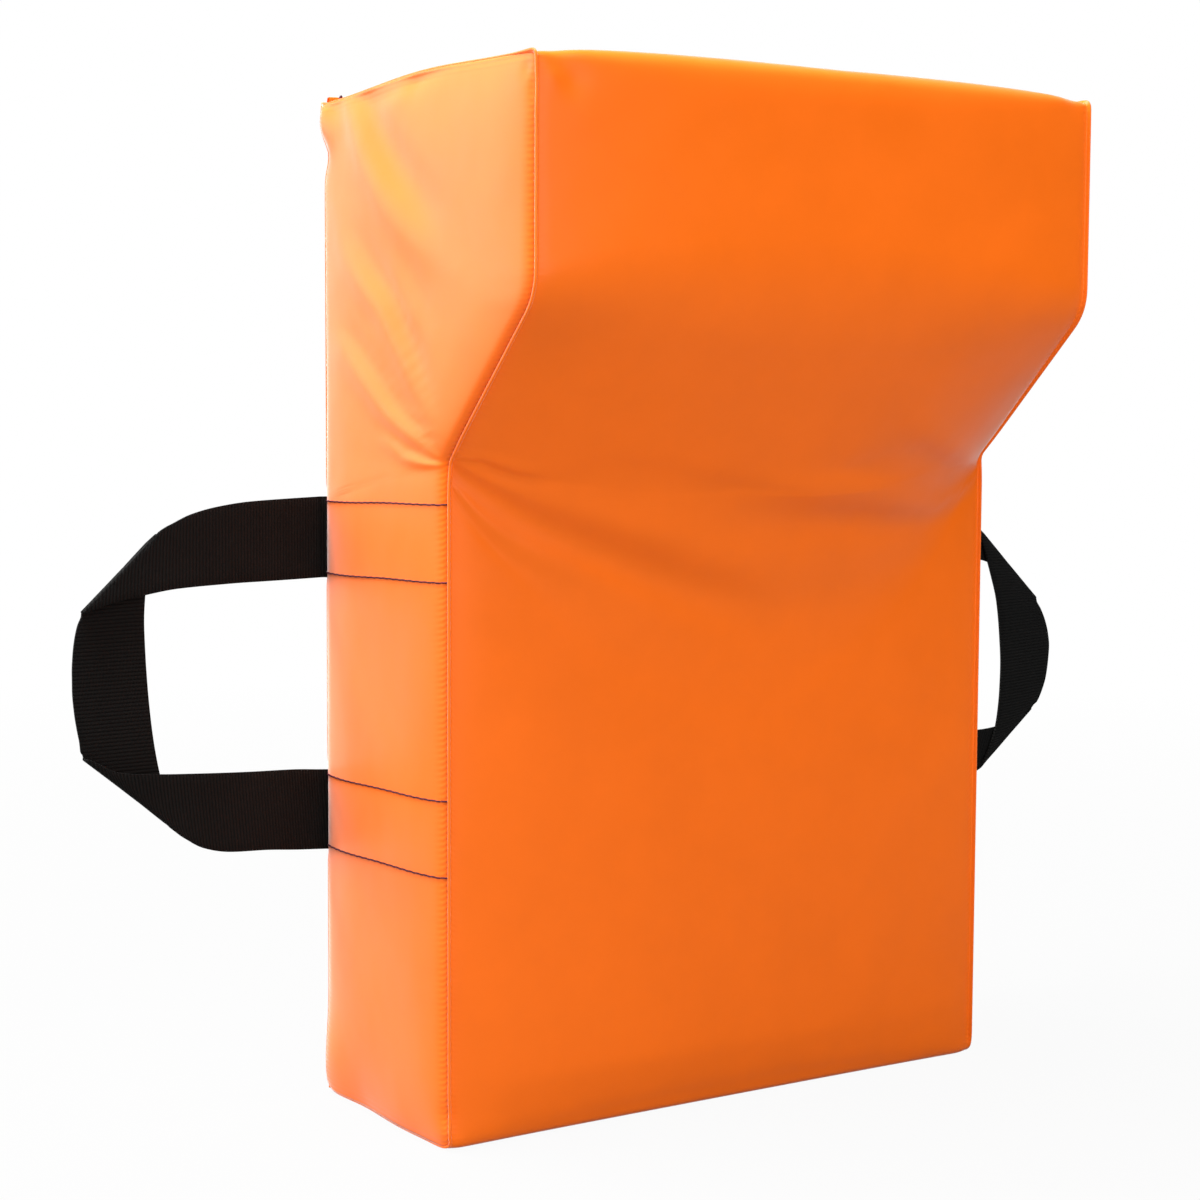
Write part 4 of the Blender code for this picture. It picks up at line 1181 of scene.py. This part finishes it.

# Painted shade in the sewn groove: a dark red mixed into the film's colour by the groove mask, lighter at
# each stitch
FILM, GROOVE_SHADE = (0.920, 0.152, 0.003, 1), (0.38, 0.022, 0.002, 1)
needled = add(tree, "MapRange", {"Value": stitched, "From Min": -1.0, "To Min": 0.15, "To Max": 0.60})
groove_shade_mask = maths(tree, "MULTIPLY", facts["Z"], needled.outputs["Result"])
shaded = add(tree, "MixRGB", {"Fac": groove_shade_mask, "Color1": FILM, "Color2": GROOVE_SHADE}).outputs[0]
fill(tree, shader, {
    "Normal": normals,
    "Base Color": toned(tree, shaded, uneven(tree, place, 18.0, 0.97, 1.03)),
    "Roughness": maths(tree, "MULTIPLY", uneven(tree, place, 9.0, 0.90, 1.10), 0.40),
    "IOR": 1.5,
    "Specular IOR Level": 0.22,
    "Sheen Weight": 0.8,
    "Sheen Roughness": 0.28,
})
for piece in (wrap, left_side, right_side, back, lip_near, lip_far):
    piece.data.materials.append(vinyl)
print("vinyl nodes:", len(tree.nodes))

# %% [markdown]
# Black webbing looks almost without shade until light rakes it: then its cross ribs show, one every
# 2.25 mm, and the finer threads that run along it. The ribs follow the run kept on the strap's points,
# and the threads its UV map in metres. The colour carries painted light and shade: lighter on the rib
# crests, darker in the hollows between them.
# %% Black webbing
webbing, tree, shader, place = new_material("black_webbing")
flat, facts = cloth_runs(tree)
RIB_PITCH, WARP_PITCH = 0.00225, 0.0009
rib = maths(tree, "ABSOLUTE", wave_of(tree, facts["Y"], 2 * RIB_PITCH))
twill = wave_of(tree, flat["X"], WARP_PITCH)
relief = maths(tree, "ADD", rib, maths(tree, "MULTIPLY", twill, 0.18))
fuzz = add(tree, "TexNoise", {"Vector": place, "Scale": 2200.0, "Detail": 2.0})
relief = maths(tree, "ADD", relief, maths(tree, "MULTIPLY", fuzz.outputs["Fac"], 0.3))
# Painted light and shade: the colour is lighter on the rib crests and darker in the hollows between them
painted_rib_light = ramp(tree, rib, (0.0010, 0.0010, 0.0010), (0.0062, 0.0063, 0.0060))
fill(tree, shader, {
    "Normal": bumped(tree, relief, 0.9, 0.0005),
    "Base Color": toned(tree, painted_rib_light, uneven(tree, place, 14.0, 0.70, 1.20)),
    "Roughness": maths(tree, "MULTIPLY", uneven(tree, place, 12.0, 0.92, 1.08), 0.72),
    "Specular IOR Level": 0.05,
    "Sheen Weight": 0.02,
    "Sheen Roughness": 0.5,
})
for piece in (left_strap, right_strap):
    piece.data.materials.append(webbing)
print("webbing nodes:", len(tree.nodes))

# %% [markdown]
# The thread is a twisted dark plum yarn. A slanting wave gives it its twist, fine enough that it only
# shows close to. Its colour is painted lighter on each ply's crest and darker between them, as light
# and shade.
# %% Plum thread
thread, tree, shader, place = new_material("plum_thread")
twist = {"Vector": place, "Scale": 320.0, "Distortion": 1.5}
ply = add(tree, "TexWave", twist, wave_type="BANDS", bands_direction="DIAGONAL").outputs["Fac"]
# Painted light and shade: lighter on each ply's crest, darker between the plies
painted_ply_light = ramp(tree, ply, (0.030, 0.004, 0.010), (0.095, 0.012, 0.030))
fill(tree, shader, {
    "Normal": bumped(tree, ply, 0.6, 0.0001),
    "Base Color": toned(tree, painted_ply_light, uneven(tree, place, 60.0, 0.8, 1.2)),
    "Roughness": 0.6,
    "Specular IOR Level": 0.15,
})
for piece in threads:
    piece.data.materials.append(thread)
print("thread nodes:", len(tree.nodes))

# %% [markdown]
# The foam planks stay as the solids made them, hidden in the cover. Open-cell foam is matt and full of
# small pores, which a pattern of cells gives to its relief; the pores are painted darker, as shade.
# %% Grey foam
foam, tree, shader, place = new_material("grey_foam")
pores = add(tree, "TexVoronoi", {"Vector": place, "Scale": 700.0}, feature="F1").outputs["Distance"]
# Painted shade: the pores are darker in colour, as the shade inside them
painted_pore_shade = ramp(tree, pores, (0.16, 0.165, 0.18), (0.36, 0.37, 0.39))
fill(tree, shader, {
    "Normal": bumped(tree, pores, 0.7, 0.0006),
    "Base Color": toned(tree, painted_pore_shade, uneven(tree, place, 25.0, 0.92, 1.08)),
    "Roughness": 0.95,
})
planks = [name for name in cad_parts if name.endswith("_plank")]
for name in planks:
    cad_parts[name].data.materials.clear()
    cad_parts[name].data.materials.append(foam)
print("foam nodes:", len(tree.nodes), "on", planks)

# %% [markdown]
# Before the end, the box of the solids is compared with the box of the dressed shield, and how far
# the cloth stands proud on each side is printed.
# %% Compare the sizes and finish
low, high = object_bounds()
grown = [a - b for a, b in zip((*cad_low, *high), (*low, *cad_high))]
print("grown by (mm), low sides then high:", [round(v * 1000, 1) for v in grown])
